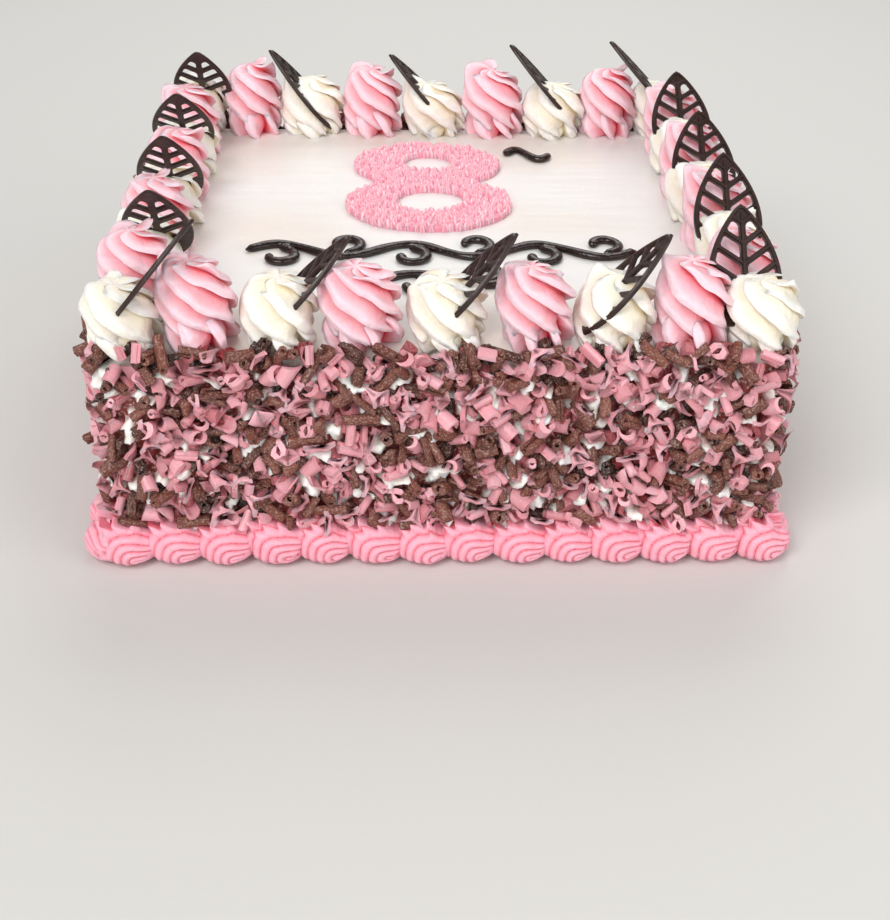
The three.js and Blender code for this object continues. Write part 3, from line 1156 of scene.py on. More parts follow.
@dataclass(frozen=True)
class SwirlTier:
    """One layer of a rosette: a twisted ring of fins that closes at its crown."""

    radius: float
    foot: float
    crown: float
    fins: int
    twist: float  # how far the fins turn clockwise from foot to crown, in radians
    depth: float  # depth of the folds
    droop: float  # how far the fins' free ends hang
    sweep: float = 0.3  # how far the free ends run on past their fin, in radians
    taper: float = 0.75  # how far the free ends draw together into points
    start: float = -46.0  # latitude where the tier begins, in degrees
    fullness: float = 0.8  # below 1 keeps the tier wide towards its crown
    lean: float = 0.34  # how far each fin laps over the next fold, in fins
    peak: float = 2.2  # how far the crown is drawn up to a point
    flaps: int = 0  # fins torn up from the crown as the piping tip was pulled off
    rows: int = 38


@dataclass(frozen=True)
class RosetteKind:
    """What one colour of rosette is piped like."""

    label: str
    slot: str
    finish: PipedCream
    tiers: tuple[SwirlTier, ...]
    variants: int = 6
    hollow: float = 0.0  # depth of the hollow pressed in where a leaf stands


PINK_KIND = RosetteKind(
    "pink",
    "pink_buttercream",
    PINK_ROSETTE,
    (
        SwirlTier(15.0, -0.5, 16.0, 7, 0.9, 6.4, 1.5, 0.2, 0.4, start=-34, lean=0.2, rows=22),
        SwirlTier(15.6, 8.0, 32.0, 6, 3.5, 5.4, 3.6, fullness=0.56, peak=0.8, flaps=2),
    ),
)
WHITE_KIND = RosetteKind(
    "white",
    "whipped_cream",
    WHITE_ROSETTE,
    (
        SwirlTier(14.8, -0.5, 12.5, 6, 0.8, 5.4, 1.5, 0.2, 0.5, start=-34, lean=0.2, rows=20),
        SwirlTier(16.4, 6.0, 25.4, 6, 2.5, 4.4, 5.2, 0.5, 0.9, fullness=0.6, peak=0.4, flaps=1),
    ),
    hollow=1.0,
)


def model_tier(tier: SwirlTier, rng: np.random.Generator) -> Object:
    """Models one tier by rolling up a sheet and folding it into fins.

    Args:
        tier: the tier's form.
        rng: the random generator, which makes every fin a little different.

    Returns:
        The tier, its axis on Z and its foot at its own height.
    """
    places = len(FIN_PLACES)
    sheet = add_sheet("tier", tier.fins * places, tier.rows)
    number = np.append(np.repeat(np.arange(tier.fins), places), 0)
    across = np.append(np.tile(FIN_PLACES, tier.fins), 0.0)
    groove = np.append(np.tile(FIN_DEPTHS, tier.fins), 1.0)
    seam = np.append(np.zeros(tier.fins * places), 1.0)
    lift = 1 - groove
    crest = number + CREST_PLACE

    latitude = np.append(tier.start, np.linspace(tier.start, 90, tier.rows))
    floor = math.sin(math.radians(tier.start))
    rise = ((np.sin(np.radians(latitude)) - floor) / (1 - floor))[:, None]
    girth = np.clip(np.cos(np.radians(latitude)), 0, 1) ** tier.fullness
    girth[0] = girth[-1] = 0.0
    girth = girth[:, None]
    latitude = latitude[:, None]
    free = 1 - smoothstep(tier.start - 12, tier.start + 44, latitude)
    top = smoothstep(30, 90, latitude)

    wide = rng.uniform(0.86, 1.16, tier.fins)
    bounds = np.append(0, np.cumsum(wide)) / wide.sum() * tier.fins
    reach_share = 1 + rng.uniform(-0.07, 0.07, tier.fins)[number] * smoothstep(85, 50, latitude)
    hang = rng.uniform(0.45, 1.4, tier.fins)[number]
    sway = rng.uniform(-0.09, 0.09, tier.fins)[number] * np.sin(np.radians(2.4 * latitude))
    crown_step = rng.uniform(-1.3, 1.3, tier.fins)[number]

    pulled = 1 - tier.taper * free**1.6 * np.clip(lift, 0, 1) ** 0.6
    local = (number + across - crest) * pulled + crest - number
    turn = bounds[number] + (bounds[number + 1] - bounds[number]) * local
    turn = (turn + seam * tier.fins) * 2 * math.pi / tier.fins
    spiral = 0.68 * rise + 0.32 * top**1.5
    angle = turn - tier.twist * spiral + sway * girth
    angle = angle - 2 * math.pi / tier.fins * tier.lean * lift * girth
    angle = angle + tier.sweep * lift * free**1.4

    depth = tier.depth * girth**0.7 * (1 + 0.9 * free)
    reach = tier.radius * girth * reach_share
    reach = np.maximum(reach - depth * groove, 0.1 * tier.radius * girth)
    height = tier.foot + (tier.crown - tier.foot) * rise + 0 * angle
    height = height - tier.droop * hang * lift**1.3 * free**1.3
    height = height + crown_step * np.exp(-(((latitude - 66) / 16) ** 2)) + tier.peak * top**3
    for fin in rng.choice(tier.fins, tier.flaps, replace=False):
        torn = (number == fin) * lift**2 * np.exp(-(((latitude - 60) / 11) ** 2))
        height = height + 3.2 * torn
        reach = reach + 1.4 * torn
    reach[0] = reach[-1] = 0.0
    height[0] = height[0].mean()
    height[-1] = height[-1].mean()
    points = np.stack([reach * np.cos(angle), reach * np.sin(angle), height], axis=-1)
    place_points(sheet, points.reshape(-1, 3))
    # Painted shade in the folds: deepest in the grooves, stronger round the tier's bulge and on the fins'
    # free ends.
    fold_shade = np.clip(groove, 0, 1) ** 1.5 * (0.35 + 0.65 * girth**0.5) + 0.25 * free * groove
    mark_points(sheet, "fold_shade", np.clip(fold_shade, 0, 1).ravel())
    close_seams(sheet)
    return sheet


def model_rosette(kind: RosetteKind, variant: int) -> Object:
    """Models one rosette from its tiers.

    Args:
        kind: the colour's form.
        variant: which of the differing models this is.

    Returns:
        The rosette, standing on the origin.
    """
    rng = np.random.default_rng(100 * len(kind.label) + variant)
    parts = [model_tier(tier, rng) for tier in kind.tiers]
    rosette = join_as(f"{kind.label}_{variant}", parts)
    smooth(rosette)
    return rosette


@dataclass
class RosetteRing:
    """The ring of rosettes on the cake's top edge."""

    kinds: tuple[RosetteKind, ...] = (PINK_KIND, WHITE_KIND)
    bend: float = 3.4  # how far a crown leans off its foot, as the piping tip was drawn away
    hollow_width: float = 8.0
    seed: int = 32

    def build(self) -> None:
        """Pipes a rosette in the place of each node of the ring."""
        rng = np.random.default_rng(self.seed)
        for kind in self.kinds:
            material = kind.finish.make()
            models = [model_rosette(kind, i) for i in range(kind.variants)]
            nodes = [n for n in sorted(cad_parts) if n.startswith(f"rosette_{kind.label}_")]
            for number, node in enumerate(nodes):
                self._pipe(node, models[number % kind.variants], kind, material, rng)
            discard(*models)

    def _pipe(
        self,
        node: str,
        model: Object,
        kind: RosetteKind,
        material: Material,
        rng: np.random.Generator,
    ) -> None:
        """Places one rosette.

        Args:
            node: the frame's node.
            model: the rosette's model.
            kind: its colour and form.
            material: its finish.
            rng: the random generator.
        """
        low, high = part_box(node)
        centre = (Vector(low) + Vector(high)) / 2 / MM
        foot = low[2] / MM
        piece = copy_as(node.replace("rosette", "swirl"), model)
        points = points_of(piece)
        spin = Matrix.Rotation(rng.uniform(0, 2 * math.pi), 3, "Z")
        size = np.array([rng.uniform(0.95, 1.04), rng.uniform(0.95, 1.04), rng.uniform(0.95, 1.03)])
        points = points @ np.array(spin).T * size
        lean = math.radians(rng.normal(125, 40))
        share = np.clip(points[:, 2] / kind.tiers[-1].crown, 0, 1.2) ** 2 * self.bend
        points[:, 0] += share * math.cos(lean)
        points[:, 1] += share * math.sin(lean)
        points = roughen(points, 9.0, 1.1, rng.uniform(0, 50))
        points = roughen(points, 2.4, 0.22, rng.uniform(0, 50))
        points = points + np.array([centre.x, centre.y, foot - 0.2])
        if kind.hollow:
            points = self._press(points, node.replace("rosette_white", "leaf"), kind.hollow)
        place_points(piece, points)
        finish_piece(piece, material, [node])

    def _press(self, points: Array, leaf: str, depth: float) -> Array:
        """Presses a hollow into a rosette round the foot of its leaf.

        Args:
            points: the rosette's points.
            leaf: the frame's leaf.
            depth: how deep the hollow is.

        Returns:
            The pressed points.
        """
        blade = points_of(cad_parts[leaf])
        stalk = blade[blade[:, 2] < blade[:, 2].min() + 6].mean(axis=0)
        away = np.hypot(points[:, 0] - stalk[0], points[:, 1] - stalk[1]) / self.hollow_width
        share = np.exp(-(away**2)) * smoothstep(stalk[2] - 8, stalk[2] + 4, points[:, 2])
        pressed = points.copy()
        pressed[:, 2] -= depth * share
        return pressed


# ------------------------------------------------------------------ leaves


@dataclass
class LeafMould:
    """A filigree leaf with a raised rim, midrib and veins on its upper face."""

    length: float = 54.0
    half_width: float = 14.4
    fullness: float = 0.82
    bluntness: float = 0.75
    stalk_end: float = 5.0
    rim: float = 2.4
    midrib: float = 2.8
    slots: int = 4
    first_slot: float = 15.5
    slot_height: float = 5.4
    slot_pitch: float = 8.3
    vein_rise: float = 0.7
    plate: float = 1.3
    edge: float = 0.25
    rib: float = 0.85
    edge_points: int = 26

    def half_at(self, y: float) -> float:
        """Half the leaf's width at `y` from its stalk end."""
        along = min(max(y / self.length, 0), 1)
        swell = max(0.0, math.sin(math.pi * along**self.fullness))
        return self.half_width * swell**self.bluntness

    def outline(self, inset: float) -> Array:
        """The leaf's edge, from the tip down one side and up the other.

        Args:
            inset: how far inside the real edge the line runs.

        Returns:
            The line's points.
        """
        heights = self.stalk_end + (self.length - self.stalk_end) * np.linspace(
            0, 1, self.edge_points
        ) ** 0.9
        right = [(max(self.half_at(y) - inset, 0), y) for y in heights[:-1]]
        left = [(-x, y) for x, y in right]
        tip = (0.0, self.length - 1.3 * inset)
        foot_lift = [(x, y + (inset if i == 0 else 0)) for i, (x, y) in enumerate(right)]
        left_lift = [(-x, y) for x, y in foot_lift]
        return np.array([*foot_lift, tip, *reversed(left_lift)]) if inset else np.array(
            [*right, tip, *reversed(left)]
        )

    def vein_end(self, start: float) -> tuple[float, float]:
        """Where a vein that leaves the midrib at `start` meets the rim."""
        x, y = self.midrib / 2, start
        while x < self.half_at(y) - self.rim:
            x += 0.1
            y += 0.1 * self.vein_rise
        return x, y

    def slot(self, side: int, start: float) -> Array:
        """One opening between two veins, with its corners rounded off."""
        rib = self.midrib / 2
        low = self.vein_end(start)
        high = self.vein_end(start + self.slot_height)
        corners = np.array(
            [(rib, start), low, high, (rib, start + self.slot_height)], dtype=float
        )
        corners[:, 0] *= side
        rounded = []
        for i, corner in enumerate(corners):
            for other in (corners[i - 1], corners[(i + 1) % 4]):
                reach = min(0.7 / max(np.linalg.norm(other - corner), 1e-6), 0.35)
                rounded.append(corner + (other - corner) * reach)
        return np.array(rounded)

    def build(self) -> Object:
        """Models the leaf: a plate with openings, and ribs along its lines."""
        plate = bpy.data.curves.new("leaf", "CURVE")
        plate.dimensions = "2D"
        plate.fill_mode = "BOTH"
        plate.extrude = (self.plate / 2 - self.edge) * MM
        plate.bevel_depth = self.edge * MM
        plate.bevel_resolution = 1
        plate.offset = -self.edge * MM
        add_line(plate, self.outline(0.0), True)
        starts = [self.first_slot + i * self.slot_pitch for i in range(self.slots)]
        for side in (-1, 1):
            for start in starts:
                add_line(plate, self.slot(side, start), True)
        ribs = bpy.data.curves.new("ribs", "CURVE")
        ribs.dimensions = "3D"
        ribs.bevel_depth = self.rib * MM
        ribs.bevel_resolution = 1
        ribs.use_fill_caps = True
        add_line(ribs, self._raised(self.outline(self.rim / 2)), True)
        middle = np.array([(0, self.stalk_end + 1), (0, self.length * 0.6), (0, self.length - 3.5)])
        add_line(ribs, self._raised(middle), False, np.array([1.35, 1.15, 0.8]))
        vein = self.slot_pitch - self.slot_height
        for side in (-1, 1):
            for start in [*starts, starts[-1] + self.slot_pitch]:
                x, y = self.vein_end(start - vein / 2)
                ends = np.array([(0, start - vein / 2 - 1), (side * x, y), (side * (x + 1), y + 0.7)])
                add_line(ribs, self._raised(ends), False, np.array([1.1, 1.0, 0.9]))
        return join_as("leaf", [curve_to_mesh("plate", plate), curve_to_mesh("ribs", ribs)])

    def _raised(self, line: Array) -> Array:
        """Lays a flat line on the plate's upper face."""
        return np.column_stack([line, np.full(len(line), self.plate / 2 - 0.15)])


@dataclass
class LeafRing:
    """The leaves that stand in the white rosettes."""

    mould: LeafMould = field(default_factory=LeafMould)

    def build(self) -> None:
        """Sets a leaf in the place of each leaf of the frame."""
        model = self.mould.build()
        smooth(model, 35)
        material = LEAF_CHOCOLATE.make()
        for node in sorted(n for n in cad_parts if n.startswith("leaf_")):
            piece = copy_as(f"filigree_{node}", model)
            points = points_of(piece)
            place = self._place(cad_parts[node])
            turned = points @ np.array(place.to_3x3()).T + np.array(place.translation)
            place_points(piece, turned)
            finish_piece(piece, material, [node])
        discard(model)

    def _place(self, node: Object) -> Matrix:
        """Reads a leaf's place off the frame's own leaf.

        The frame's leaf is alike on both sides, so its long, wide and thin directions are
        the axes of its points' spread, and its tip is the highest point.

        Args:
            node: the frame's leaf.

        Returns:
            Width along X, length along Y, the upper face along Z, and the base's place.
        """
        points = points_of(node)
        middle = (points.max(axis=0) + points.min(axis=0)) / 2
        spread = np.cov((points - points.mean(axis=0)).T)
        axes = np.linalg.eigh(spread)[1]
        thin, long = Vector(axes[:, 0]), Vector(axes[:, 2])
        if long.z < 0:
            long = -long
        if thin.z < 0:
            thin = -thin
        reach = (points - middle) @ np.array(long)
        wide = long.cross(thin)
        across = (points - middle) @ np.array(wide)
        through = (points - middle) @ np.array(thin)
        centre = (
            Vector(middle)
            + wide * (across.max() + across.min()) / 2
            + thin * (through.max() + through.min()) / 2
        )
        base = centre + long * (reach.max() - self.mould.length)
        turn = Matrix((wide, long, thin)).transposed().to_4x4()
        return Matrix.Translation(base) @ turn


# ------------------------------------------------------------------ shell border


@dataclass
class ShellBorder:
    """The row of shells piped round the cake's foot.

    A shell is piped away from the wall and back: its ridges start in a jagged crown against
    the wall, curl round the left end and gather in a tail that the next shell covers.
    """

    shells: int = 14
    wall: float = 132.5
    outer: float = 145.0
    row_end: float = 140.6  # where the last tail of a row ends, past the corner
    half_length: float = 12.2  # half a shell's length, which laps over the next one
    height: float = 17.4
    tail: float = 0.4  # how much lower the tail's upper edge is than the head's
    skirt: float = 7.0  # how far a shell's foot reaches back behind the wall
    focus: tuple[float, float] = (3.6, 5.2)
    pitch: float = 2.5  # from ridge to ridge
    gather: float = 0.2  # how far the ridges draw together in the tail
    stretch: float = 0.78  # below 1 sets the ridges further apart round the head
    squareness: float = 2.15  # above 2 straightens the ridges' upper arms
    fall: float = 0.22  # how steeply the upper arms fall towards the tail
    ridge_depth: float = 1.7
    crown: tuple[float, float] = (58.0, 148.0)  # angles between which the crown stands
    teeth: int = 3
    tooth: float = 4.6  # height of the crown's teeth
    crown_out: float = 0.5  # how far out the crown stands, as a share of the shell's depth
    rings: int = 44
    crown_spokes: int = 34
    other_spokes: int = 34
    overlap: float = 2.8  # how far a row reaches past the corner before it
    variants: int = 5
    seed: int = 14

    def build(self) -> None:
        """Pipes the four rows."""
        rng = np.random.default_rng(self.seed)
        material = PINK_BORDER.make()
        models = [self._model(i, rng) for i in range(self.variants)]
        low = -self.wall - self.overlap
        stride = (self.row_end - low) / self.shells
        for side, name in enumerate(SIDES):
            row = []
            for i in range(self.shells):
                shell = copy_as("shell", models[int(rng.integers(self.variants))])
                size = np.array(
                    [rng.uniform(0.96, 1.05), rng.uniform(0.93, 1.04), rng.uniform(0.92, 1.04)]
                )
                turn = Matrix.Rotation(rng.uniform(-0.06, 0.06), 3, "Y")
                points = points_of(shell) * size @ np.array(turn).T
                shift = rng.uniform(-0.6, 0.6)
                points = points + np.array([low + stride * (i + 0.5) + shift, -self.wall, 0])
                points[:, 2] = np.maximum(points[:, 2], 0.0)
                past = points[:, 0] > self.wall - 2
                points[past, 1] = np.minimum(points[past, 1], -self.wall)
                points = points @ np.array(side_matrix(side).to_3x3()).T
                place_points(shell, points)
                row.append(shell)
            border = join_as(f"shells_{name}", row)
            finish_piece(border, material, [f"border_{name}"])
        discard(*models)

    def _outline(self, spoke: Array) -> tuple[Array, Array]:
        """A shell's outline against the wall, without its crown.

        Args:
            spoke: the outline's angles about the shell's middle, in radians.

        Returns:
            How far right and how high the outline lies at each angle.
        """
        x = self.half_length * np.sign(np.cos(spoke)) * np.abs(np.cos(spoke)) ** 0.9
        drawn_in = smoothstep(-2, self.half_length, x)
        upper = np.sin(spoke) > 0
        half = self.height * 0.5 * (1 - np.where(upper, self.tail, 0.3 * self.tail) * drawn_in)
        blunt = np.where(upper, 0.72, 0.58)
        return x, self.height * 0.48 + np.sign(np.sin(spoke)) * np.abs(np.sin(spoke)) ** blunt * half

    def _phase(self, x: Array, z: Array, focus: tuple[float, float]) -> Array:
        """Which ridge a place lies on: the ridges are nested round the focus, open to the right.

        Args:
            x: places along the wall.
            z: heights.
            focus: the ridges' middle.

        Returns:
            The number of ridges between the focus and the place.
        """
        gathered = 1 - self.gather * smoothstep(focus[0] - 2, self.half_length, x)
        behind = np.abs(np.minimum(x - focus[0], 0)) * self.stretch
        above = z - focus[1] + self.fall * (x - focus[0]) * smoothstep(0, 6, z - focus[1])
        squared = self.squareness
        return (behind**squared + np.abs(above / gathered) ** squared) ** (1 / squared) / self.pitch

    def _spikes(self, spoke: Array, low: float, high: float, rng: np.random.Generator) -> Array:
        """The crown's teeth, each steep on its left.

        Args:
            spoke: angles about the shell's middle, in radians.
            low: angle of the crown's right end.
            high: angle of its left end.
            rng: the random generator.

        Returns:
            The teeth's height at each angle, up to about 1.
        """
        across = np.clip(self.teeth * (high - spoke) / (high - low), 0, self.teeth - 1e-6)
        part = np.mod(across, 1.0)
        saw = np.where(part < 0.24, part / 0.24, (1 - part) / 0.76)
        return saw * rng.uniform(0.55, 1.25, self.teeth)[across.astype(int)]

    def _model(self, variant: int, rng: np.random.Generator) -> Object:
        """Models one shell by gathering a ribbed sheet about a point low on its right.

        Args:
            variant: number of the model.
            rng: the random generator.

        Returns:
            The shell, with the wall at y = 0 and its front towards -Y.
        """
        low, high = (math.radians(angle) for angle in self.crown)
        spoke = np.concatenate(
            [
                np.linspace(low, high, self.crown_spokes, endpoint=False),
                np.linspace(high, low + 2 * math.pi, self.other_spokes + 1),
            ]
        )
        sheet = add_sheet(f"shell_{variant}", len(spoke) - 1, self.rings)
        ring = np.linspace(1, 0, self.rings + 1)[:, None]
        focus = (self.focus[0] + rng.uniform(-1.4, 1.0), self.focus[1] + rng.uniform(-0.7, 0.9))
        start = rng.uniform(0, 1)
        edge_x, edge_z = self._outline(spoke)
        x = focus[0] + (edge_x - focus[0]) * ring
        z = focus[1] + (edge_z - focus[1]) * ring
        part = np.mod(self._phase(x, z, focus) + start, 1.0)
        crest = np.sqrt(np.clip(1 - np.abs(2 * part - 1) ** 2.2, 0, 1))
        standing = smoothstep(low - 0.1, low + 0.25, spoke) * smoothstep(high + 0.1, high - 0.2, spoke)
        spike = self._spikes(spoke, low, high, rng) * standing
        raised = self.tooth * spike * smoothstep(0.76, 1.0, ring)
        x = x - 0.5 * raised
        z = z + raised - 0.3 * self.tooth * standing * smoothstep(0.8, 1.0, ring)
        push = self.ridge_depth * (crest - 0.6) * smoothstep(0.0, 0.1, ring)
        x = x + push * (x - focus[0]) / self.half_length * 0.6
        z = z + push * (z - focus[1]) / self.height * 0.9
        bulge = np.sqrt(np.clip(1 - ring**2.6, 0, 1))
        bulge = np.maximum(bulge, self.crown_out * standing * (ring > 0.8))
        narrow = 1 - 0.36 * smoothstep(0, self.half_length, x)
        under = 1 - 0.16 * smoothstep(5, 0, z)
        out = (self.outer - self.wall - 0.9) * bulge * narrow * under
        out = out + push * (0.3 + 0.7 * bulge) - self.skirt * (ring > 1 - 0.5 / self.rings)
        out = out + 1.6 * (spike - 0.5 * standing) * smoothstep(0.74, 0.98, ring)
        points = np.stack([x, -out, z], axis=-1).reshape(-1, 3)
        points = roughen(points, 8.0, 0.5, 9.0 * variant)
        place_points(sheet, roughen(points, 1.6, 0.07, 9.0 * variant))
        # Painted shade in the grooves between the ridges.
        mark_points(sheet, "fold_shade", np.clip(1.1 * (1 - crest) ** 1.3, 0, 1).ravel())
        close_seams(sheet)
        smooth(sheet)
        return sheet


# ------------------------------------------------------------------ numeral and piping


@dataclass(frozen=True)
class Oval:
    """An upright ellipse on the cake's top."""

    x: float
    y: float
    rx: float
    ry: float

    def outside(self, px: Array, py: Array) -> Array:
        """Roughly how far points lie outside the ellipse, negative inside."""
        share = np.hypot((px - self.x) / self.rx, (py - self.y) / self.ry)
        return (share - 1) * min(self.rx, self.ry)

    def ring(self, grow: float, steps: int = 48) -> Array:
        """Points round the ellipse, `grow` outside it."""
        turn = np.linspace(0, 2 * math.pi, steps, endpoint=False)
        return np.column_stack(
            [self.x + (self.rx + grow) * np.cos(turn), self.y + (self.ry + grow) * np.sin(turn)]
        )


@dataclass
class Numeral:
    """The figure eight, filled with small stars of buttercream."""

    lobes: tuple[Oval, ...] = (
        Oval(-1.8, 65.5, 36.2, 27),
        Oval(-2.2, 15.5, 38.6, 31),
        Oval(-2.8, 44.5, 26, 11),
    )
    eyes: tuple[Oval, ...] = (Oval(-1.2, 66.5, 12, 11.5), Oval(-0.9, 18.5, 15.6, 13.5))
    top: float = 91.0
    bed: float = 2.6
    star: float = 1.95  # radius of one star's foot
    tall: float = 4.5
    spacing: float = 2.5
    points_of_star: int = 6
    seed: int = 88

    def build(self) -> None:
        """Pipes the bed and the stars."""
        rng = np.random.default_rng(self.seed)
        bed = [self._bed(number) for number in range(len(self.lobes))]
        places = self._places(rng)
        model = self._star()
        coat = Heap("stars")
        shaving = Shavings.read(model)
        for x, y, depth in places:
            lean = 0.35 * max(0.0, 1 - depth / 4.5)
            outward = self._outward(x, y)
            axis = Vector((-outward.y, outward.x, 0))
            tilt = Matrix.Rotation(lean + rng.normal(0, 0.09), 4, axis)
            spin = Matrix.Rotation(rng.uniform(0, 2 * math.pi), 4, "Z")
            place = Matrix.Translation((x, y, self.top - 0.2)) @ tilt @ spin
            coat.add(shaving, place, rng.uniform(0.8, 1.1), 0.0)
        stars = coat.build()
        # Painted shade of each star, in its grooves and low down.
        heights = np.tile(self._fold_shade_of_star(), len(places))
        mark_points(stars, "fold_shade", heights)
        numeral = join_as("star_piped_eight", [stars, *bed])
        smooth(numeral)
        finish_piece(numeral, PINK_NUMERAL.make(), ["numeral"])

    def _bed(self, number: int) -> Object:
        """The flat layer of cream under the stars of one lobe."""
        lobe = bpy.data.curves.new("bed", "CURVE")
        lobe.dimensions = "2D"
        lobe.fill_mode = "BOTH"
        thickness = self.bed - 0.15 * number
        lobe.extrude = thickness / 2 * MM
        add_line(lobe, self.lobes[number].ring(-0.8), True)
        if number < len(self.eyes):
            add_line(lobe, self.eyes[number].ring(0.8), True)
        bed = curve_to_mesh("bed", lobe)
        lift = self.top + thickness / 2 - 0.1 - 0.1 * number
        place_points(bed, points_of(bed) + np.array([0, 0, lift]))
        # The bed under the stars takes the full fold colour: painted shade.
        mark_points(bed, "fold_shade", np.ones(len(bed.data.vertices)))
        return bed

    def _depth(self, x: Array, y: Array) -> Array:
        """How far points lie inside the figure."""
        body = np.min([lobe.outside(x, y) for lobe in self.lobes], axis=0)
        eyes = np.max([-eye.outside(x, y) for eye in self.eyes], axis=0)
        return -np.maximum(body, eyes)

    def _outward(self, x: float, y: float) -> Vector:
        """The direction to the nearest edge of the figure."""
        step = 0.5
        xs = np.array([x + step, x - step, x, x])
        ys = np.array([y, y, y + step, y - step])
        right, left, back, front = self._depth(xs, ys)
        slope = Vector((left - right, front - back, 0))
        return slope.normalized() if slope.length > 1e-6 else Vector((1, 0, 0))

    def _places(self, rng: np.random.Generator) -> list[tuple[float, float, float]]:
        """Places for the stars: first along the edges, then all over."""
        x = rng.uniform(-42, 40, 60000)
        y = rng.uniform(-24, 94, 60000)
        depth = self._depth(x, y)
        edge = (depth > 1.7) & (depth < 2.1)
        inner = depth > 3.4
        kept: list[tuple[float, float, float]] = []
        taken = np.empty((0, 2))
        for band in (edge, inner):
            for px, py, pd in zip(x[band], y[band], depth[band]):
                if len(taken) and np.min(np.hypot(taken[:, 0] - px, taken[:, 1] - py)) < self.spacing:
                    continue
                taken = np.vstack([taken, (px, py)])
                kept.append((float(px), float(py), float(pd)))
        return kept

    def _star(self) -> Object:
        """Models one star, drawn up to a soft point."""
        deselect_all()
        count = 2 * self.points_of_star
        bpy.ops.mesh.primitive_circle_add(vertices=count, radius=self.star * MM, fill_type="NGON")
        star = bpy.context.object
        bpy.ops.object.mode_set(mode="EDIT")
        for rise, size in ((1.4, 1.05), (1.4, 0.92), (1.0, 0.76), (0.7, 0.5)):
            bpy.ops.mesh.extrude_region_move(TRANSFORM_OT_translate={"value": (0, 0, rise * MM)})
            bpy.ops.transform.resize(value=(size, size, 1))
            bpy.ops.transform.rotate(value=0.09, orient_axis="Z", center_override=(0, 0, 0))
        bpy.ops.object.mode_set(mode="OBJECT")
        points = points_of(star)
        ring = np.arange(len(points)) % count
        inner = 1 - 0.34 * (ring % 2)
        points[:, :2] *= inner[:, None]
        place_points(star, points)
        close_seams(star)
        # Painted shade: full in the grooves between the star's points and darker towards its foot.
        self._fold_shades = np.clip(0.9 * (ring % 2) + 0.35 * (1 - points[:, 2] / self.tall), 0, 1)
        return star

    def _fold_shade_of_star(self) -> Array:
        """The painted shade on each of the star's points."""
        return self._fold_shades


@dataclass(frozen=True)
class Vine:
    """A wavy stem of piped chocolate with a tendril in each bend."""

    name: str
    x: float
    y: float
    length: float
    waves: int
    swing: float
    curls: int


@dataclass
class Piping:
    """The dark chocolate scrolls on the cake's top."""

    vines: tuple[Vine, ...] = (
        Vine("piped_vine", 2, -37.5, 168, 3, 6.5, 6),
        Vine("piped_vine_lower", 4, -67, 56, 1, 5.5, 2),
        Vine("piped_scroll", 48.5, 81, 22, 1, 6.5, 0),
    )
    top: float = 91.0
    width: float = 4.6
    height: float = 3.4
    curl_turns: float = 0.8
    curl_start: float = 9.0
    curl_end: float = 3.0
    seed: int = 21

    def build(self) -> None:
        """Pipes every vine."""
        material = PIPED_CHOCOLATE.make()
        rng = np.random.default_rng(self.seed)
        for vine in self.vines:
            curve = bpy.data.curves.new(vine.name, "CURVE")
            curve.dimensions = "3D"
            curve.bevel_depth = self.width / 2 * MM
            curve.bevel_resolution = 3
            curve.use_fill_caps = True
            self._pipe(curve, self._stem(vine), rng)
            bend = vine.length / (2 * vine.waves)
            for i in range(vine.curls):
                x = bend * (i + 0.5) - vine.length / 2
                self._pipe(curve, self._tendril(x, -1 if i % 2 == 0 else 1), rng)
            scroll = curve_to_mesh(f"chocolate_{vine.name}", curve)
            points = points_of(scroll)
            points[:, 2] *= self.height / self.width
            points[:, 2] += self.top + self.height * 0.42
            points[:, :2] += (vine.x, vine.y)
            place_points(scroll, points)
            smooth(scroll)
            finish_piece(scroll, material, [vine.name])

    def _stem(self, vine: Vine) -> Array:
        """The stem's line."""
        t = np.linspace(0, 1, 26 * vine.waves + 1)
        bend = vine.swing * np.sin(2 * math.pi * vine.waves * t)
        return np.column_stack([vine.length * (t - 0.5), bend, 0 * t])

    def _tendril(self, x: float, up: int) -> Array:
        """A tendril's line, which leaves the stem at a bend and curls into its hollow."""
        t = np.linspace(0, 1, 26)
        angle = 2 * math.pi * (self.curl_turns * t - 0.25)
        reach = self.curl_start + (self.curl_end - self.curl_start) * t
        middle = self.curl_start - self.width / 2
        return np.column_stack([x + reach * np.cos(angle), up * (middle + reach * np.sin(angle)), 0 * t])

    def _pipe(self, curve: bpy.types.Curve, line: Array, rng: np.random.Generator) -> None:
        """Adds one stroke with rounded ends and the swell of an unsteady hand."""
        share = np.linspace(0, 1, len(line))
        steps = np.linalg.norm(np.diff(line, axis=0), axis=1).sum()
        from_end = np.minimum(share, 1 - share) * steps / (self.width / 2)
        cap = np.sqrt(np.clip(1 - (1 - np.clip(from_end, 0.02, 1)) ** 2, 0, 1))
        phase = rng.uniform(0, 2 * math.pi)
        swell = 1 + 0.1 * np.sin(share * steps / 4 + phase)
        add_line(curve, line, False, np.clip(cap, 0.25, 1) * swell)


# ------------------------------------------------------------------ studio


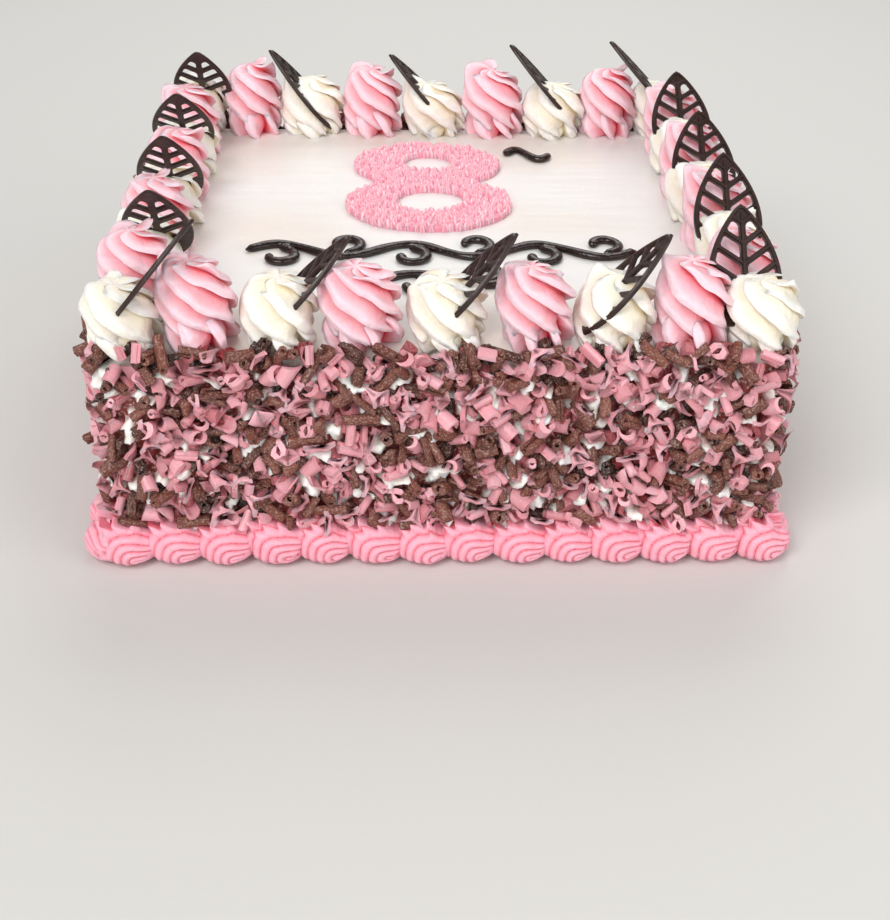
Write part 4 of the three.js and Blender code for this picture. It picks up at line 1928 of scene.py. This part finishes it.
@dataclass
class Studio:
    """Camera, lights and floor. The camera stands where the photograph was taken from."""

    place: tuple[float, float, float] = (-23.3, -641.3, 356.5)
    pitch: float = 31.46  # degrees below level
    yaw: float = 2.72  # degrees to the right of +Y
    roll: float = -1.28
    focal: float = 1518.0  # focal length in pixels of the 890 by 920 frame
    frame_long_side: float = 920.0
    floor_size: float = 9000.0
    floor: StudioPaper = StudioPaper("pale_studio_paper", "D2D1CE")

    def build(self) -> None:
        """Sets up the whole studio."""
        self._camera()
        self._floor()
        self._light("key_softbox", (-1150, -1660, 2120), 1480, 49.0, (1.0, 0.99, 0.98))
        self._light("front_softbox", (-280, -2780, 1040), 2000, 19.0, (1.0, 0.995, 0.985))
        self._light("fill_softbox", (900, -700, 700), 1000, 5.0, (1.0, 0.995, 0.99))
        self._light("back_softbox", (150, 900, 1100), 1000, 8.0, (1.0, 0.995, 0.99))
        world = bpy.data.worlds.new("studio_air")
        world.use_nodes = True
        background = world.node_tree.nodes["Background"]
        background.inputs[0].default_value = srgb("F4F4F2")
        background.inputs[1].default_value = 0.36
        bpy.context.scene.world = world
        bpy.context.scene.view_settings.view_transform = "Standard"

    def _camera(self) -> None:
        """Adds the camera."""
        data = bpy.data.cameras.new("camera")
        data.sensor_width = 36.0
        data.lens = self.focal / self.frame_long_side * data.sensor_width
        camera = bpy.data.objects.new("camera", data)
        bpy.context.scene.collection.objects.link(camera)
        turn = (
            Matrix.Rotation(-math.radians(self.yaw), 4, "Z")
            @ Matrix.Rotation(math.pi / 2 - math.radians(self.pitch), 4, "X")
            @ Matrix.Rotation(-math.radians(self.roll), 4, "Z")
        )
        camera.matrix_world = Matrix.Translation(Vector(self.place) * MM) @ turn
        bpy.context.scene.camera = camera

    def _floor(self) -> None:
        """Adds the floor."""
        deselect_all()
        bpy.ops.mesh.primitive_plane_add(size=self.floor_size * MM)
        floor = bpy.context.object
        floor.name = "studio_floor"
        floor.data.materials.append(self.floor.make())

    def _light(
        self,
        name: str,
        place: tuple[float, float, float],
        size: float,
        power: float,
        colour: tuple[float, float, float],
    ) -> None:
        """Adds a softbox that faces the cake.

        Args:
            name: the light's name.
            place: where it hangs, in millimetres.
            size: its side, in millimetres.
            power: its power in watts.
            colour: its linear colour.
        """
        data = bpy.data.lights.new(name, "AREA")
        data.size = size * MM
        data.energy = power
        data.color = colour
        light = bpy.data.objects.new(name, data)
        bpy.context.scene.collection.objects.link(light)
        light.location = Vector(place) * MM
        aim = Vector((0, 0, 60)) * MM - light.location
        light.rotation_euler = aim.to_track_quat("-Z", "Y").to_euler()


# ------------------------------------------------------------------ making the cake


def main() -> None:
    """Builds every piece in order."""
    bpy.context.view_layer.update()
    Studio().build()
    body = CakeBody()
    cake = body.build()
    finish_piece(cake, CREAM_COAT.make(), ["cake"])
    brown = CurlCoat("milk_chocolate", BROWN_CURLS, BROWN_SHAPES, BROWN_WEIGHTS)
    pink = CurlCoat("pink_chocolate", PINK_CURLS, PINK_SHAPES, PINK_WEIGHTS)
    CurlShower(body).throw(brown, pink)
    brown.build()
    pink.build()
    RosetteRing().build()
    LeafRing().build()
    ShellBorder().build()
    Numeral().build()
    Piping().build()


if __name__ == "__main__":
    main()
